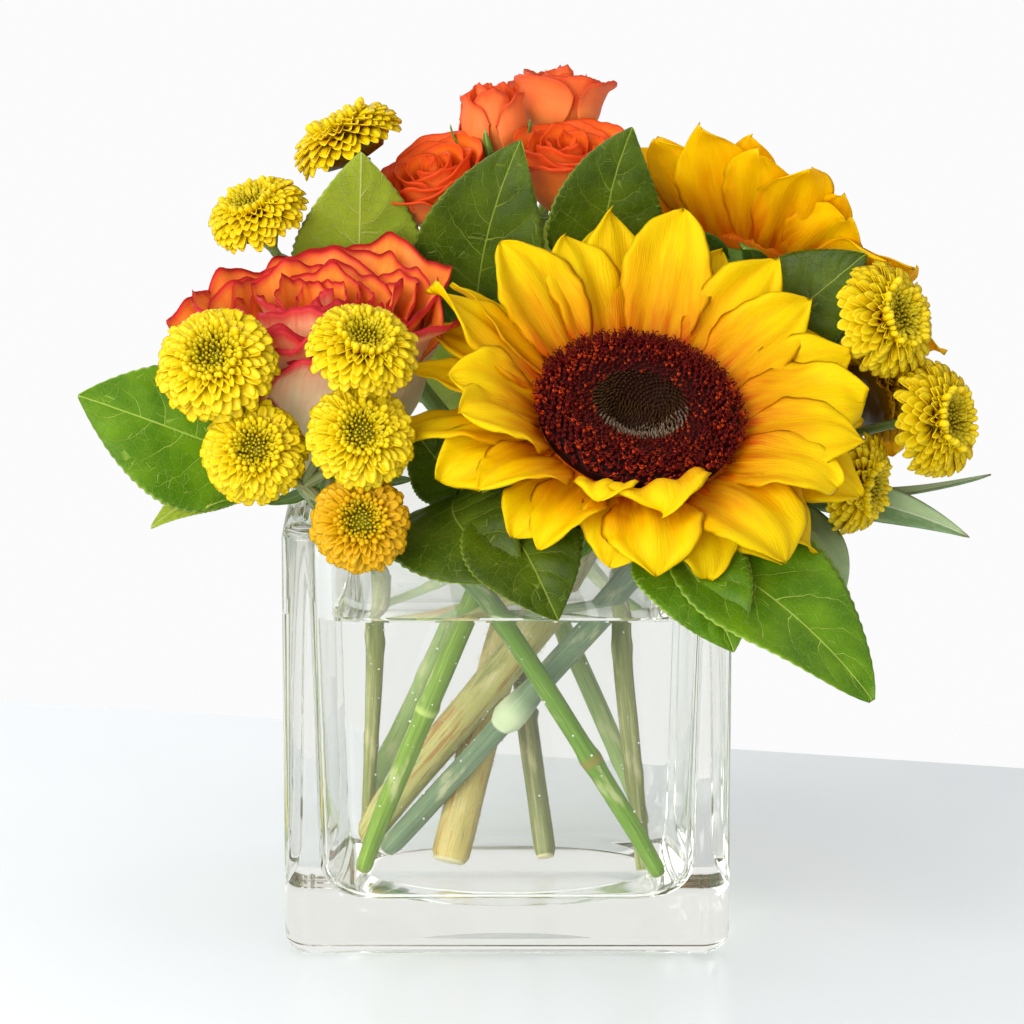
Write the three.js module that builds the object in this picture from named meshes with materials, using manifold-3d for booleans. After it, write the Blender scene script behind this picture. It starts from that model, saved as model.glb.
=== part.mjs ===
// Mixed bouquet with two sunflowers in a square pressed-glass vase.
// Millimetres, +Z up. The origin is the centre of the vase's underside, and -Y is the front.
// Blooms are built in their own frame (+Z is the way the bloom faces) and placed by their meshes.
// Stems and leafy sprigs are built where they stand.

import * as THREE from 'three';
import Module from 'manifold-3d';

const wasm = await Module();
wasm.setup();

// ---------------------------------------------------------------- driving dimensions

const GAP = 0.3; // clearance between neighbouring pieces

const VASE = {
  half: 63.5, // half the outer width
  height: 123.5,
  corner: 8, // outer upright corners
  foot: 6, // rounding under the outer edge
  rimRound: 2.2,
  cavityFloor: 53.5, // half the inner width at the floor
  cavityRim: 56.5, // half the inner width near the rim
  cavityCorner: 18,
  floorTop: 14,
  fillet: 10,
};
const WATER_LEVEL = 97;

const DISC_RADIUS = 28.6; // dark centre of a sunflower
const PLATE_RADIUS = 30.5; // receptacle that carries the ray petals
const PLATE_DEPTH = 2.7;
const CALYX_DEPTH = 21;

const COLOURS = {
  glass: 0xeef3f2,
  water: 0xdfeae8,
  ray: 0xf8bf0a,
  disc: 0x4a0f0c,
  green: 0x4f7d2c,
  leaf: 0x2f6a1e,
  sage: 0x8fa57c,
  rose: 0xef5a2a,
  sprayRose: 0xf2693c,
  pompon: 0xf0d51a,
};

// Sunflower heads: centre of the disc, the way it faces, and how its rays lie.
// lift is a ray's rise from the disc's plane at its root and bend is how far it turns by its tip,
// each given for the rays on the upper side, at the sides and on the lower side, in degrees.
const FRONT_SUNFLOWER = {
  centre: [36.3, -60, 155.5],
  facing: [0.146, -0.5545, 0.8195],
  rays: 14,
  rayLength: 42,
  rayHalfWidth: 10,
  lift: { upper: 34, side: 20, lower: 30 },
  bend: { upper: 6, side: -24, lower: -70 },
  lowerLength: 0.74,
  seed: 11,
};
const BACK_SUNFLOWER = {
  centre: [73, 30, 172],
  facing: [0.46, 0.7, 0.545],
  rays: 14,
  rayLength: 35,
  rayHalfWidth: 9.6,
  lift: { upper: 16, side: 12, lower: 16 },
  bend: { upper: -10, side: -16, lower: -14 },
  lowerLength: 1,
  seed: 23,
};

// Roses: foot of the bloom, the way it opens, radius at its belly and mouth, and height.
const BICOLOUR_ROSE = {
  foot: [-50, -20, 133],
  facing: [-0.08, -0.19, 0.97],
  petals: 18,
  belly: 28.5,
  mouth: 38,
  inner: 57,
  outer: 58,
  seed: 5,
  rows: 3,
};
const SPRAY_ROSES = [
  {
    foot: [-16, 28, 197],
    facing: [-0.3, -0.3, 0.9],
    petals: 8,
    belly: 14.5,
    mouth: 19,
    inner: 23,
    outer: 23,
    seed: 41,
    rows: 2,
  },
  {
    foot: [-3, 36, 213],
    facing: [-0.1, -0.1, 1],
    petals: 7,
    belly: 10.5,
    mouth: 9,
    inner: 26,
    outer: 24,
    seed: 42,
    rows: 2,
  },
  {
    foot: [14.5, 48, 217],
    facing: [0.1, 0.15, 1],
    petals: 8,
    belly: 12.5,
    mouth: 15,
    inner: 24,
    outer: 22,
    seed: 47,
    rows: 2,
  },
  {
    foot: [17, 25, 200.5],
    facing: [0.05, -0.3, 0.95],
    petals: 8,
    belly: 13,
    mouth: 17,
    inner: 25,
    outer: 25,
    seed: 44,
    rows: 2,
  },
];

// Button chrysanthemums: centre, the way each faces, and radius.
const POMPONS = [
  { centre: [-46, 23, 221], facing: [-0.45, 0.05, 0.9], radius: 16.5 },
  { centre: [-72, 8, 202], facing: [-0.35, -0.35, 0.85], radius: 14.5 },
  { centre: [-80, -70, 172.5], facing: [-0.15, -0.75, 0.65], radius: 17 },
  { centre: [-70, -76, 149.5], facing: [0.1, -0.9, 0.45], radius: 14.6 },
  { centre: [-40, -78, 178], facing: [0.2, -0.55, 0.8], radius: 15.3 },
  { centre: [-40.5, -80, 154.5], facing: [0.15, -0.85, 0.5], radius: 15 },
  { centre: [-40.5, -83, 131], facing: [0.1, -0.9, 0.35], radius: 13.8 },
  { centre: [106.5, -26.5, 177.5], facing: [0.7, -0.62, 0.35], radius: 16.8 },
  { centre: [121, -27, 149], facing: [0.8, -0.55, 0.2], radius: 16.6 },
  { centre: [104, -8, 152.5], facing: [0.75, 0.5, 0.4], radius: 15 },
  { centre: [98, -38, 133], facing: [0.85, -0.45, -0.1], radius: 14.5 },
];

// ---------------------------------------------------------------- small tools

const vec = (a) => new THREE.Vector3(a[0], a[1], a[2]);
const radians = THREE.MathUtils.degToRad;
const lerp = THREE.MathUtils.lerp;
const clamp = THREE.MathUtils.clamp;
const GOLDEN_ANGLE = Math.PI * (3 - Math.sqrt(5));

// Seeded random numbers from 0 to 1.
function seeded(seed) {
  let state = seed * 7919 + 17;
  return () => {
    state = (state * 16807) % 2147483647;
    return state / 2147483647;
  };
}

// Frame of a bloom: +Z is the way it faces, and +Y is the upper side of its face.
function frameAt(centre, facing) {
  const n = vec(facing).normalize();
  const x = new THREE.Vector3(0, 0, 1).cross(n).normalize();
  const y = n.clone().cross(x);
  return new THREE.Matrix4().makeBasis(x, y, n).setPosition(vec(centre));
}

// A form is a list of points and a list of triangles, closed, with its faces pointing out.
// skin() joins loops of equal length that run counter-clockwise about the way of travel.
function skin(loops, start, end) {
  const points = loops.flat();
  const faces = [];
  const n = loops[0].length;
  const first = points.length;
  points.push(start, end);
  for (let j = 0; j < n; j++) {
    const k = (j + 1) % n;
    const last = (loops.length - 1) * n;
    faces.push([first, k, j], [first + 1, last + j, last + k]);
    for (let i = 0; i + 1 < loops.length; i++) {
      const a = i * n;
      const b = a + n;
      faces.push([a + j, a + k, b + k], [a + j, b + k, b + j]);
    }
  }
  return { points, faces };
}

function moved(form, matrix) {
  return { points: form.points.map((p) => p.clone().applyMatrix4(matrix)), faces: form.faces };
}

function toSolid(form) {
  const vertProperties = new Float32Array(form.points.flatMap((p) => [p.x, p.y, p.z]));
  const triVerts = new Uint32Array(form.faces.flat());
  return new wasm.Manifold(new wasm.Mesh({ numProp: 3, vertProperties, triVerts }));
}

function joined(forms) {
  return forms.map(toSolid).reduce((whole, piece) => whole.add(piece));
}

// The largest body of a solid's mesh, without the loose scraps and sealed hollows of a union.
function mainBody(solid) {
  const mesh = solid.getMesh();
  const tris = mesh.triVerts;
  const parent = Array.from({ length: mesh.numVert }, (_, i) => i);
  const find = (i) => {
    let root = i;
    while (parent[root] !== root) root = parent[root];
    while (parent[i] !== root) [parent[i], i] = [root, parent[i]];
    return root;
  };
  for (let t = 0; t < tris.length; t += 3) {
    parent[find(tris[t + 1])] = find(tris[t]);
    parent[find(tris[t + 2])] = find(tris[t]);
  }
  const at = (i) => new THREE.Vector3().fromArray(mesh.vertProperties, i * mesh.numProp);
  const volumes = new Map();
  for (let t = 0; t < tris.length; t += 3) {
    const root = find(tris[t]);
    const piece = at(tris[t]).dot(at(tris[t + 1]).cross(at(tris[t + 2]))) / 6;
    volumes.set(root, (volumes.get(root) ?? 0) + piece);
  }
  const main = [...volumes].reduce((a, b) => (b[1] > a[1] ? b : a))[0];
  const kept = [];
  for (let t = 0; t < tris.length; t += 3) {
    if (find(tris[t]) === main) kept.push(tris[t], tris[t + 1], tris[t + 2]);
  }
  return { positions: kept.flatMap((i) => at(i).toArray()) };
}

const bouquet = new THREE.Group();

function addNode(name, solid, colour, finish = {}, matrix = null) {
  const geometry = new THREE.BufferGeometry();
  geometry.setAttribute('position', new THREE.Float32BufferAttribute(mainBody(solid).positions, 3));
  geometry.computeVertexNormals();
  const matte = { color: colour, roughness: 0.6, metalness: 0 };
  const material = new THREE.MeshStandardMaterial({ ...matte, ...finish });
  const mesh = new THREE.Mesh(geometry, material);
  mesh.name = name;
  if (matrix) mesh.applyMatrix4(matrix);
  bouquet.add(mesh);
}

// ---------------------------------------------------------------- vase and water

// Square with round corners, counter-clockwise from above.
function squareLoop(half, corner, z, steps = 3) {
  const loop = [];
  for (let c = 0; c < 4; c++) {
    for (let i = 0; i <= steps; i++) {
      const a = (Math.PI / 2) * (c + i / steps);
      const middle = Math.PI / 2 * c + Math.PI / 4;
      const reach = (half - corner) * Math.SQRT2;
      loop.push(new THREE.Vector3(
        reach * Math.cos(middle) + corner * Math.cos(a),
        reach * Math.sin(middle) + corner * Math.sin(a),
        z,
      ));
    }
  }
  return loop;
}

// Loops of the cavity from the middle of its floor up to the height top, moved in by inset.
function cavityLoops(top, inset) {
  const loops = [];
  const steps = 3;
  const half = VASE.cavityFloor - inset;
  const floor = VASE.floorTop + inset;
  for (let i = 0; i <= steps; i++) {
    const a = (Math.PI / 2) * (i / steps);
    const inward = VASE.fillet * (1 - Math.sin(a));
    const z = floor + VASE.fillet * (1 - Math.cos(a));
    loops.push(squareLoop(half - inward, VASE.cavityCorner - inward, z));
  }
  const slope = (VASE.cavityRim - VASE.cavityFloor) / (VASE.height - VASE.floorTop - VASE.fillet);
  const widen = slope * (top - floor - VASE.fillet);
  loops.push(squareLoop(half + widen, VASE.cavityCorner, top));
  return loops;
}

function vaseForm() {
  const loops = [];
  const footSteps = 2;
  for (let i = 0; i <= footSteps; i++) {
    const a = (Math.PI / 2) * (i / footSteps);
    const inward = VASE.foot * (1 - Math.sin(a));
    loops.push(squareLoop(VASE.half - inward, VASE.corner - inward, VASE.foot * (1 - Math.cos(a))));
  }
  const rimBase = VASE.height - VASE.rimRound;
  const shoulder = VASE.rimRound * 0.35;
  const shoulderHeight = rimBase + VASE.rimRound * 0.72;
  loops.push(squareLoop(VASE.half, VASE.corner, rimBase));
  loops.push(squareLoop(VASE.half - shoulder, VASE.corner, shoulderHeight));
  loops.push(squareLoop(VASE.half - VASE.rimRound, VASE.corner, VASE.height));
  loops.push(squareLoop(VASE.cavityRim + VASE.rimRound, VASE.cavityCorner, VASE.height));
  loops.push(squareLoop(VASE.cavityRim + shoulder, VASE.cavityCorner, shoulderHeight));
  loops.push(...cavityLoops(rimBase, 0).reverse());
  return skin(loops, new THREE.Vector3(0, 0, 0), new THREE.Vector3(0, 0, VASE.floorTop));
}

function waterForm() {
  const loops = cavityLoops(WATER_LEVEL, GAP);
  return skin(loops, new THREE.Vector3(0, 0, VASE.floorTop + GAP), new THREE.Vector3(0, 0, WATER_LEVEL));
}

// ---------------------------------------------------------------- stems

// Closed tube along a smooth curve through the points, its radius running through radii.
// lead runs it on past its first end.
function tubeForm(path, radii, sides = 6, stepLength = 16, lead = 0) {
  const curve = new THREE.CatmullRomCurve3(path.map(vec), false, 'catmullrom', 0.5);
  const steps = Math.max(2, Math.round(curve.getLength() / stepLength));
  const loops = [];
  let across = new THREE.Vector3(1, 0, 0);
  for (let i = 0; i <= steps; i++) {
    const t = i / steps;
    const p = curve.getPoint(t);
    const along = curve.getTangent(t);
    across = across.addScaledVector(along, -across.dot(along)).normalize();
    const up = along.clone().cross(across);
    const place = t * (radii.length - 1);
    const low = Math.min(Math.floor(place), radii.length - 2);
    const radius = lerp(radii[low], radii[low + 1], place - low);
    loops.push(Array.from({ length: sides }, (_, j) => {
      const a = (2 * Math.PI * j) / sides;
      const x = radius * Math.cos(a);
      const y = radius * Math.sin(a);
      return p.clone().addScaledVector(across, x).addScaledVector(up, y);
    }));
  }
  const start = curve.getPoint(0);
  if (lead > 0) {
    const back = curve.getTangent(0).multiplyScalar(-lead);
    start.add(back);
    loops.unshift(loops[0].map((p) => p.clone().add(back)));
  }
  return skin(loops, start, curve.getPoint(1));
}

const stemHoles = [];

// A stem that stands in the vase. Its hole in the water is wider by the gap and runs on past its foot.
function standingStem(path, radii, sides = 6) {
  stemHoles.push(tubeForm(path, radii.map((r) => r + GAP), sides, 16, 6));
  return tubeForm(path, radii, sides);
}

// ---------------------------------------------------------------- blades: rays and leaves

const SPINE_STEPS = 24;

// Spine of a blade that grows from a head: it leaves at azimuth, rises by lift, and turns by bend.
function raySpine({ azimuth, radius, height, length, lift, bend, yaw = 0, roll = 0 }) {
  const stations = [];
  const p = new THREE.Vector3(radius * Math.cos(azimuth), radius * Math.sin(azimuth), height);
  for (let i = 0; i <= SPINE_STEPS; i++) {
    const t = i / SPINE_STEPS;
    const a = azimuth + yaw * t;
    const rise = lift + bend * t * t;
    const out = new THREE.Vector3(Math.cos(a), Math.sin(a), 0);
    const along = out.clone().multiplyScalar(Math.cos(rise)).setZ(Math.sin(rise));
    const side = new THREE.Vector3(-Math.sin(a), Math.cos(a), 0);
    const up = along.clone().cross(side);
    const across = side.multiplyScalar(Math.cos(roll)).addScaledVector(up, Math.sin(roll));
    stations.push({ p: p.clone(), along, across, up: along.clone().cross(across) });
    p.addScaledVector(along, length / SPINE_STEPS);
  }
  return stations;
}

// Spine of a leaf from base to tip, bowed by bow at its middle, with face the way its top looks.
function leafSpine({ base, tip, bow, face }) {
  const curve = new THREE.QuadraticBezierCurve3(
    vec(base),
    vec(base).add(vec(tip)).multiplyScalar(0.5).addScaledVector(vec(bow), 2),
    vec(tip),
  );
  return Array.from({ length: SPINE_STEPS + 1 }, (_, i) => {
    const t = i / SPINE_STEPS;
    const along = curve.getTangent(t);
    const across = vec(face).cross(along).normalize();
    return { p: curve.getPoint(t), along, across, up: along.clone().cross(across) };
  });
}

// Closed blade along a spine: a folded lens in section, pointed at both ends.
function bladeForm(spine, steps, halfWidth, fold, thickness) {
  const loops = steps.map((step) => {
    const { p, across, up } = spine[step];
    const t = step / SPINE_STEPS;
    const w = halfWidth(t, step);
    const edge = fold * w;
    return [
      p.clone().addScaledVector(across, w).addScaledVector(up, edge),
      p.clone().addScaledVector(up, thickness / 2),
      p.clone().addScaledVector(across, -w).addScaledVector(up, edge),
      p.clone().addScaledVector(up, -thickness / 2),
    ];
  });
  const root = spine[0].p.clone().addScaledVector(spine[0].along, -1.5);
  return skin(loops, root, spine[SPINE_STEPS].p);
}

const rayWidth = (half) => (t) => half * Math.sin(Math.PI * (0.1 + 0.9 * t)) ** 0.8;
const leafWidth = (half) => (t, step) => {
  const tooth = step % 2 ? 1.03 : 0.95;
  return half * tooth * Math.sin(Math.PI * t ** 0.74) ** 0.85;
};
const lanceWidth = (half) => (t) => half * Math.sin(Math.PI * t ** 0.8) ** 0.8;

const RAY_STEPS = [0, 8, 16];
const LEAF_STEPS = [1, 4, 7, 11, 15, 20];
const LANCE_STEPS = [1, 6, 12, 18];
const LEAF_THICKNESS = 1.2;

const RAY_THICKNESS = 1.2;
const RAY_FOLD = 0.12;
const SALAL_FOLD = 0.16;
const SAGE_FOLD = 0.2;

function salalLeaf(leaf) {
  return bladeForm(leafSpine(leaf), LEAF_STEPS, leafWidth(leaf.width / 2), SALAL_FOLD, LEAF_THICKNESS);
}

function sageLeaf(leaf) {
  return bladeForm(leafSpine(leaf), LANCE_STEPS, lanceWidth(leaf.width / 2), SAGE_FOLD, LEAF_THICKNESS);
}

// ---------------------------------------------------------------- sunflowers

// Value round the face of a head, from what it is on the upper side, at the sides and below.
function roundFace(values, azimuth) {
  const s = Math.sin(azimuth);
  return s > 0 ? lerp(values.side, values.upper, s) : lerp(values.side, values.lower, -s);
}

function rayForms(head) {
  const random = seeded(head.seed);
  const forms = [];
  for (let layer = 0; layer < 2; layer++) {
    for (let i = 0; i < head.rays; i++) {
      const azimuth = (2 * Math.PI * (i + layer / 2 + (random() - 0.5) * 0.2)) / head.rays;
      const lowered = Math.max(0, -Math.sin(azimuth));
      const spine = raySpine({
        azimuth,
        radius: 27.8 - layer * 0.6,
        height: -0.95 - layer * 1.3,
        length: head.rayLength * lerp(1, head.lowerLength, lowered) * (0.94 + 0.12 * random()),
        lift: radians(roundFace(head.lift, azimuth) - layer * 18 + (random() - 0.5) * 4),
        bend: radians(roundFace(head.bend, azimuth) + (random() - 0.5) * 10),
        yaw: radians((random() - 0.5) * 8),
        roll: radians(9),
      });
      forms.push(bladeForm(spine, RAY_STEPS, rayWidth(head.rayHalfWidth), RAY_FOLD, RAY_THICKNESS));
    }
  }
  return forms;
}

const circle = (radius, z, sides) => Array.from({ length: sides }, (_, i) => {
  const a = (2 * Math.PI * i) / sides;
  return new THREE.Vector3(radius * Math.cos(a), radius * Math.sin(a), z);
});

function plateForm() {
  const low = -GAP - PLATE_DEPTH;
  const sides = 20;
  const loops = [
    circle(PLATE_RADIUS - 1, low, sides),
    circle(PLATE_RADIUS, -GAP - 0.6, sides),
    circle(DISC_RADIUS, -GAP, sides),
  ];
  return skin(loops, new THREE.Vector3(0, 0, low), new THREE.Vector3(0, 0, -GAP));
}

// Raised ring of dark florets round a sunken heart, with the florets as relief.
function discForm() {
  const sides = 24;
  const rings = 5;
  const loops = [circle(DISC_RADIUS - 1, 0, sides)];
  for (let i = 0; i < rings; i++) {
    const q = 1 - i / rings;
    const crown = 2 + 5.5 * Math.sin(Math.PI * clamp(1.15 * (1 - q) + 0.12, 0, 1)) ** 0.8;
    const heart = -2.2 * Math.max(0, 0.45 - q) / 0.45;
    loops.push(circle(DISC_RADIUS * q, 0, sides).map((p, j) => {
      const bump = (i + j) % 2 ? 0.55 : -0.55;
      const spread = 1 + (i === 0 ? bump * 0.03 : 0);
      return new THREE.Vector3(p.x * spread, p.y * spread, crown + heart + bump);
    }));
  }
  return skin(loops, new THREE.Vector3(0, 0, 0), new THREE.Vector3(0, 0, 2.5));
}

// Loop of a star: a point at radius(azimuth) and height(azimuth) on every other place.
function starLoop(points, valley, valleyHeight, tip) {
  return Array.from({ length: 2 * points }, (_, i) => {
    const a = (Math.PI * i) / points;
    const { radius, height } = i % 2 ? tip(a) : { radius: valley, height: valleyHeight };
    return new THREE.Vector3(radius * Math.cos(a), radius * Math.sin(a), height);
  });
}

// Green cup under the rays with its pointed bracts, which follow the rays from below.
function calyxForm(head) {
  const top = -2 * GAP - PLATE_DEPTH;
  const bracts = 14;
  const bractTip = (a) => {
    const lowered = Math.max(0, -Math.sin(a));
    const rise = radians(roundFace(head.lift, a) - 34);
    const length = lerp(21, 13, lowered);
    return { radius: 25 + length * Math.cos(rise), height: top - 4 + length * Math.sin(rise) };
  };
  const loops = [
    circle(5.2, -CALYX_DEPTH - 2, 2 * bracts),
    circle(15, top - 12, 2 * bracts),
    circle(24, top - 6, 2 * bracts),
    starLoop(bracts, 26, top - 3, bractTip),
    circle(26, top, 2 * bracts),
  ];
  return skin(loops, new THREE.Vector3(0, 0, -CALYX_DEPTH - 2), new THREE.Vector3(0, 0, top));
}

function addSunflower(name, head, stemPath, radii) {
  const frame = frameAt(head.centre, head.facing);
  const calyx = moved(calyxForm(head), frame);
  const seat = new THREE.Vector3(0, 0, -CALYX_DEPTH + 4).applyMatrix4(frame).toArray();
  const neck = new THREE.Vector3(0, 0, -CALYX_DEPTH - 10).applyMatrix4(frame).toArray();
  const stem = standingStem([...stemPath, neck, seat], radii, 8);
  addNode(`${name}_rays`, joined([plateForm(), ...rayForms(head)]), COLOURS.ray, {}, frame);
  addNode(`${name}_disc`, toSolid(discForm()), COLOURS.disc, { roughness: 0.9 }, frame);
  addNode(`${name}_calyx_and_stem`, joined([stem, calyx]), COLOURS.green);
}

// ---------------------------------------------------------------- roses

// Closed shell over a mid-surface, thick in the middle and sharp at its edges.
function shellForm(surface, columns, rows, thickness) {
  const points = [];
  const top = [];
  const bottom = [];
  const step = 0.02;
  for (let i = 0; i <= columns; i++) {
    for (let j = 0; j <= rows; j++) {
      const u = i / columns;
      const v = j / rows;
      const p = surface(u, v);
      const edge = i === 0 || j === 0 || i === columns || j === rows;
      if (edge) {
        top.push(points.length);
        bottom.push(points.length);
        points.push(p);
      } else {
        const du = surface(u + step, v).sub(surface(u - step, v));
        const dv = surface(u, v + step).sub(surface(u, v - step));
        const n = du.cross(dv).normalize().multiplyScalar(thickness / 2);
        top.push(points.length);
        bottom.push(points.length + 1);
        points.push(p.clone().add(n), p.clone().sub(n));
      }
    }
  }
  const faces = [];
  for (let i = 0; i < columns; i++) {
    for (let j = 0; j < rows; j++) {
      const a = i * (rows + 1) + j;
      const b = a + rows + 1;
      faces.push([top[a], top[b], top[b + 1]], [top[a], top[b + 1], top[a + 1]]);
      faces.push([bottom[a], bottom[b + 1], bottom[b]], [bottom[a], bottom[a + 1], bottom[b + 1]]);
    }
  }
  return { points, faces };
}

// Mid-surface of petal number k of a rose, from the heart (k = 0) outwards.
function rosePetal(rose, k, random) {
  const q = k / (rose.petals - 1);
  const turn = k * GOLDEN_ANGLE + (random() - 0.5) * 0.3;
  const halfAngle = radians(lerp(100, 50, Math.sqrt(q)));
  const root = lerp(1.5, 0.24 * rose.belly, q);
  const belly = lerp(0.12, 1, q ** 0.7) * rose.belly;
  const mouth = lerp(0.08, 1, q ** 0.9) * rose.mouth;
  const height = lerp(rose.inner, rose.outer, q) * (0.95 + 0.1 * random());
  return (u, v) => {
    const s = 2 * u - 1;
    const rise = Math.sin((Math.PI / 2) * clamp(v / 0.55, 0, 1));
    const open = THREE.MathUtils.smoothstep(v, 0.5, 1);
    const radius = lerp(lerp(root, belly, rise), mouth, open) + 0.05 * rose.belly * s * s * v * q;
    const a = turn + s * halfAngle * (0.45 + 0.55 * Math.sin((Math.PI / 2) * clamp(v * 1.5, 0, 1)));
    const top = v - 0.2 * s * s * v * v - 0.05 * q * open;
    return new THREE.Vector3(radius * Math.cos(a), radius * Math.sin(a), height * top);
  };
}

function roseForms(rose) {
  const random = seeded(rose.seed);
  const size = rose.belly;
  const sides = 10;
  const heart = skin(
    [
      circle(0.3 * size, 0, sides),
      circle(0.36 * size, 0.14 * size, sides),
      circle(0.18 * size, 0.5 * size, sides),
    ],
    new THREE.Vector3(0, 0, 0),
    new THREE.Vector3(0, 0, 0.9 * size),
  );
  const forms = [heart];
  for (let k = 0; k < rose.petals; k++) {
    forms.push(shellForm(rosePetal(rose, k, random), 3, rose.rows, 1.3));
  }
  return forms;
}

// Green hip and five pointed sepals under a rose.
function hipForm(rose) {
  const size = rose.belly;
  const top = -GAP;
  const sepals = 5;
  const sepalTip = () => ({ radius: 0.62 * size, height: top - 0.1 * size });
  const loops = [
    circle(0.12 * size, top - 0.42 * size, 2 * sepals),
    circle(0.24 * size, top - 0.25 * size, 2 * sepals),
    starLoop(sepals, 0.22 * size, top - 0.08 * size, sepalTip),
    circle(0.2 * size, top, 2 * sepals),
  ];
  const form = skin(loops, new THREE.Vector3(0, 0, top - 0.45 * size), new THREE.Vector3(0, 0, top));
  return moved(form, frameAt(rose.foot, rose.facing));
}

// ---------------------------------------------------------------- button chrysanthemums

// Tiers of pointed florets from the back of the head to its dimple, as shares of its radius.
const POMPON_FLORETS = 11;
const POMPON_TIERS = [
  { valley: 0.66, low: -0.16, tip: 1, high: -0.1, groove: 0.68, up: 0.04 },
  { valley: 0.62, low: 0.16, tip: 0.88, high: 0.24, groove: 0.5, up: 0.26 },
  { valley: 0.38, low: 0.34, tip: 0.6, high: 0.46, groove: 0.2, up: 0.34 },
];

// The florets of one tier stand over the grooves of the tier below.
function pomponForm(radius, seed) {
  const random = seeded(seed);
  const sides = 2 * POMPON_FLORETS;
  const loops = [circle(0.42 * radius, -0.3 * radius, sides)];
  POMPON_TIERS.forEach((tier, k) => {
    const reach = () => ({
      radius: tier.tip * radius * (0.94 + 0.12 * random()),
      height: tier.high * radius,
    });
    const star = starLoop(POMPON_FLORETS, tier.valley * radius, tier.low * radius, reach);
    const turn = new THREE.Vector3(0, 0, 1);
    star.forEach((p) => p.applyAxisAngle(turn, (k % 2) * (Math.PI / POMPON_FLORETS)));
    loops.push(k % 2 ? [star[sides - 1], ...star.slice(0, sides - 1)] : star);
    loops.push(circle(tier.groove * radius, tier.up * radius, sides));
  });
  return skin(loops, new THREE.Vector3(0, 0, -0.32 * radius), new THREE.Vector3(0, 0, 0.3 * radius));
}

// Pedicel from the fork of a spray to the underside of a pompon, by way of via.
function pedicel(pompon, fork, via = null) {
  const frame = frameAt(pompon.centre, pompon.facing);
  const depth = 0.32 * pompon.radius + GAP;
  const seat = new THREE.Vector3(0, 0, -depth).applyMatrix4(frame);
  const neck = new THREE.Vector3(0, 0, -depth - 8).applyMatrix4(frame);
  const middle = via ?? vec(fork).lerp(neck, 0.5).toArray();
  return tubeForm([fork, middle, neck.toArray(), seat.toArray()], [1.7, 1.6, 1.6, 1.6, 3.4], 5, 10);
}

// ---------------------------------------------------------------- build

const FRONT_SUNFLOWER_STEM = [[-43, 10, 20], [9.5, -12, 89.4]];
const BACK_SUNFLOWER_STEM = [[-17, -6, 16.4], [0.8, 20, 83.4], [13, 19, 112]];
addSunflower('front_sunflower', FRONT_SUNFLOWER, FRONT_SUNFLOWER_STEM, [5, 5.3, 5.3, 5]);
addSunflower('back_sunflower', BACK_SUNFLOWER, BACK_SUNFLOWER_STEM, [5.4, 5.5, 5.3, 5]);

function addRose(name, rose, colour) {
  addNode(name, joined(roseForms(rose)), colour, {}, frameAt(rose.foot, rose.facing));
}

addRose('bicolour_rose_petals', BICOLOUR_ROSE, COLOURS.rose);
const ROSE_STEM = [
  [45, -31, 17.5],
  [-1.4, -42, 94.6],
  [-19, -41, 111],
  [-37, -31, 118],
  [-48.5, -21, 124],
];
addNode(
  'bicolour_rose_hip_and_stem',
  joined([standingStem(ROSE_STEM, [2.8, 3, 3]), hipForm(BICOLOUR_ROSE)]),
  COLOURS.green,
);

SPRAY_ROSES.forEach((rose, i) => addRose(`spray_rose_${i + 1}_petals`, rose, COLOURS.sprayRose));
const SPRAY_FORK = [3, 24, 178];
const SPRAY_STEM = [[-43, -22, 17], [-12, -36, 94], [1, -28, 122], [5, -4, 150], SPRAY_FORK];

// Branch from the fork of the spray to the hip under a rose.
function branch(rose) {
  const frame = frameAt(rose.foot, rose.facing);
  const seat = new THREE.Vector3(0, 0, -0.3 * rose.belly).applyMatrix4(frame).toArray();
  const neck = new THREE.Vector3(0, 0, -0.75 * rose.belly).applyMatrix4(frame).toArray();
  return tubeForm([SPRAY_FORK, neck, seat], [2, 1.6, 1.6], 5, 14);
}
addNode(
  'spray_rose_stem',
  joined([
    standingStem(SPRAY_STEM, [3, 3, 2.8]),
    ...SPRAY_ROSES.flatMap((rose) => [branch(rose), hipForm(rose)]),
  ]),
  COLOURS.green,
);

POMPONS.forEach((pompon, i) => {
  addNode(
    `pompon_${String(i + 1).padStart(2, '0')}`,
    toSolid(pomponForm(pompon.radius, 60 + i)),
    COLOURS.pompon,
    {},
    frameAt(pompon.centre, pompon.facing),
  );
});

// Sprays of pompons: the stem ends at the fork, and heads gives each pompon and its pedicel's way.
const POMPON_SPRAYS = {
  back_pompon_stem: {
    stem: [[42, 40, 17.5], [15.6, 47, 78], [0, 46, 110], [-26, 40, 146], [-46, 32, 174]],
    heads: [{ pompon: 0 }, { pompon: 1, via: [-64, 26, 186] }],
  },
  left_pompon_stem: {
    stem: [[-43, 20, 17], [-38.6, 10, 85.5], [-48, -14, 108], [-53, -38, 126], [-57, -52, 135]],
    heads: [2, 3, 4, 5, 6].map((pompon) => ({ pompon })),
  },
  right_pompon_stem: {
    stem: [[40, -17, 16], [32.8, 0, 87.3], [43, 2, 110], [53, 0, 127], [64, -3, 131], [77, -7, 135]],
    heads: [7, 8, 9, 10].map((pompon) => ({ pompon })),
  },
};
Object.entries(POMPON_SPRAYS).forEach(([name, { stem, heads }]) => {
  const fork = stem[stem.length - 1];
  const pedicels = heads.map(({ pompon, via }) => pedicel(POMPONS[pompon], fork, via));
  addNode(name, joined([standingStem(stem, [2.8, 2.8, 2.3]), ...pedicels]), COLOURS.green);
});

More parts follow.
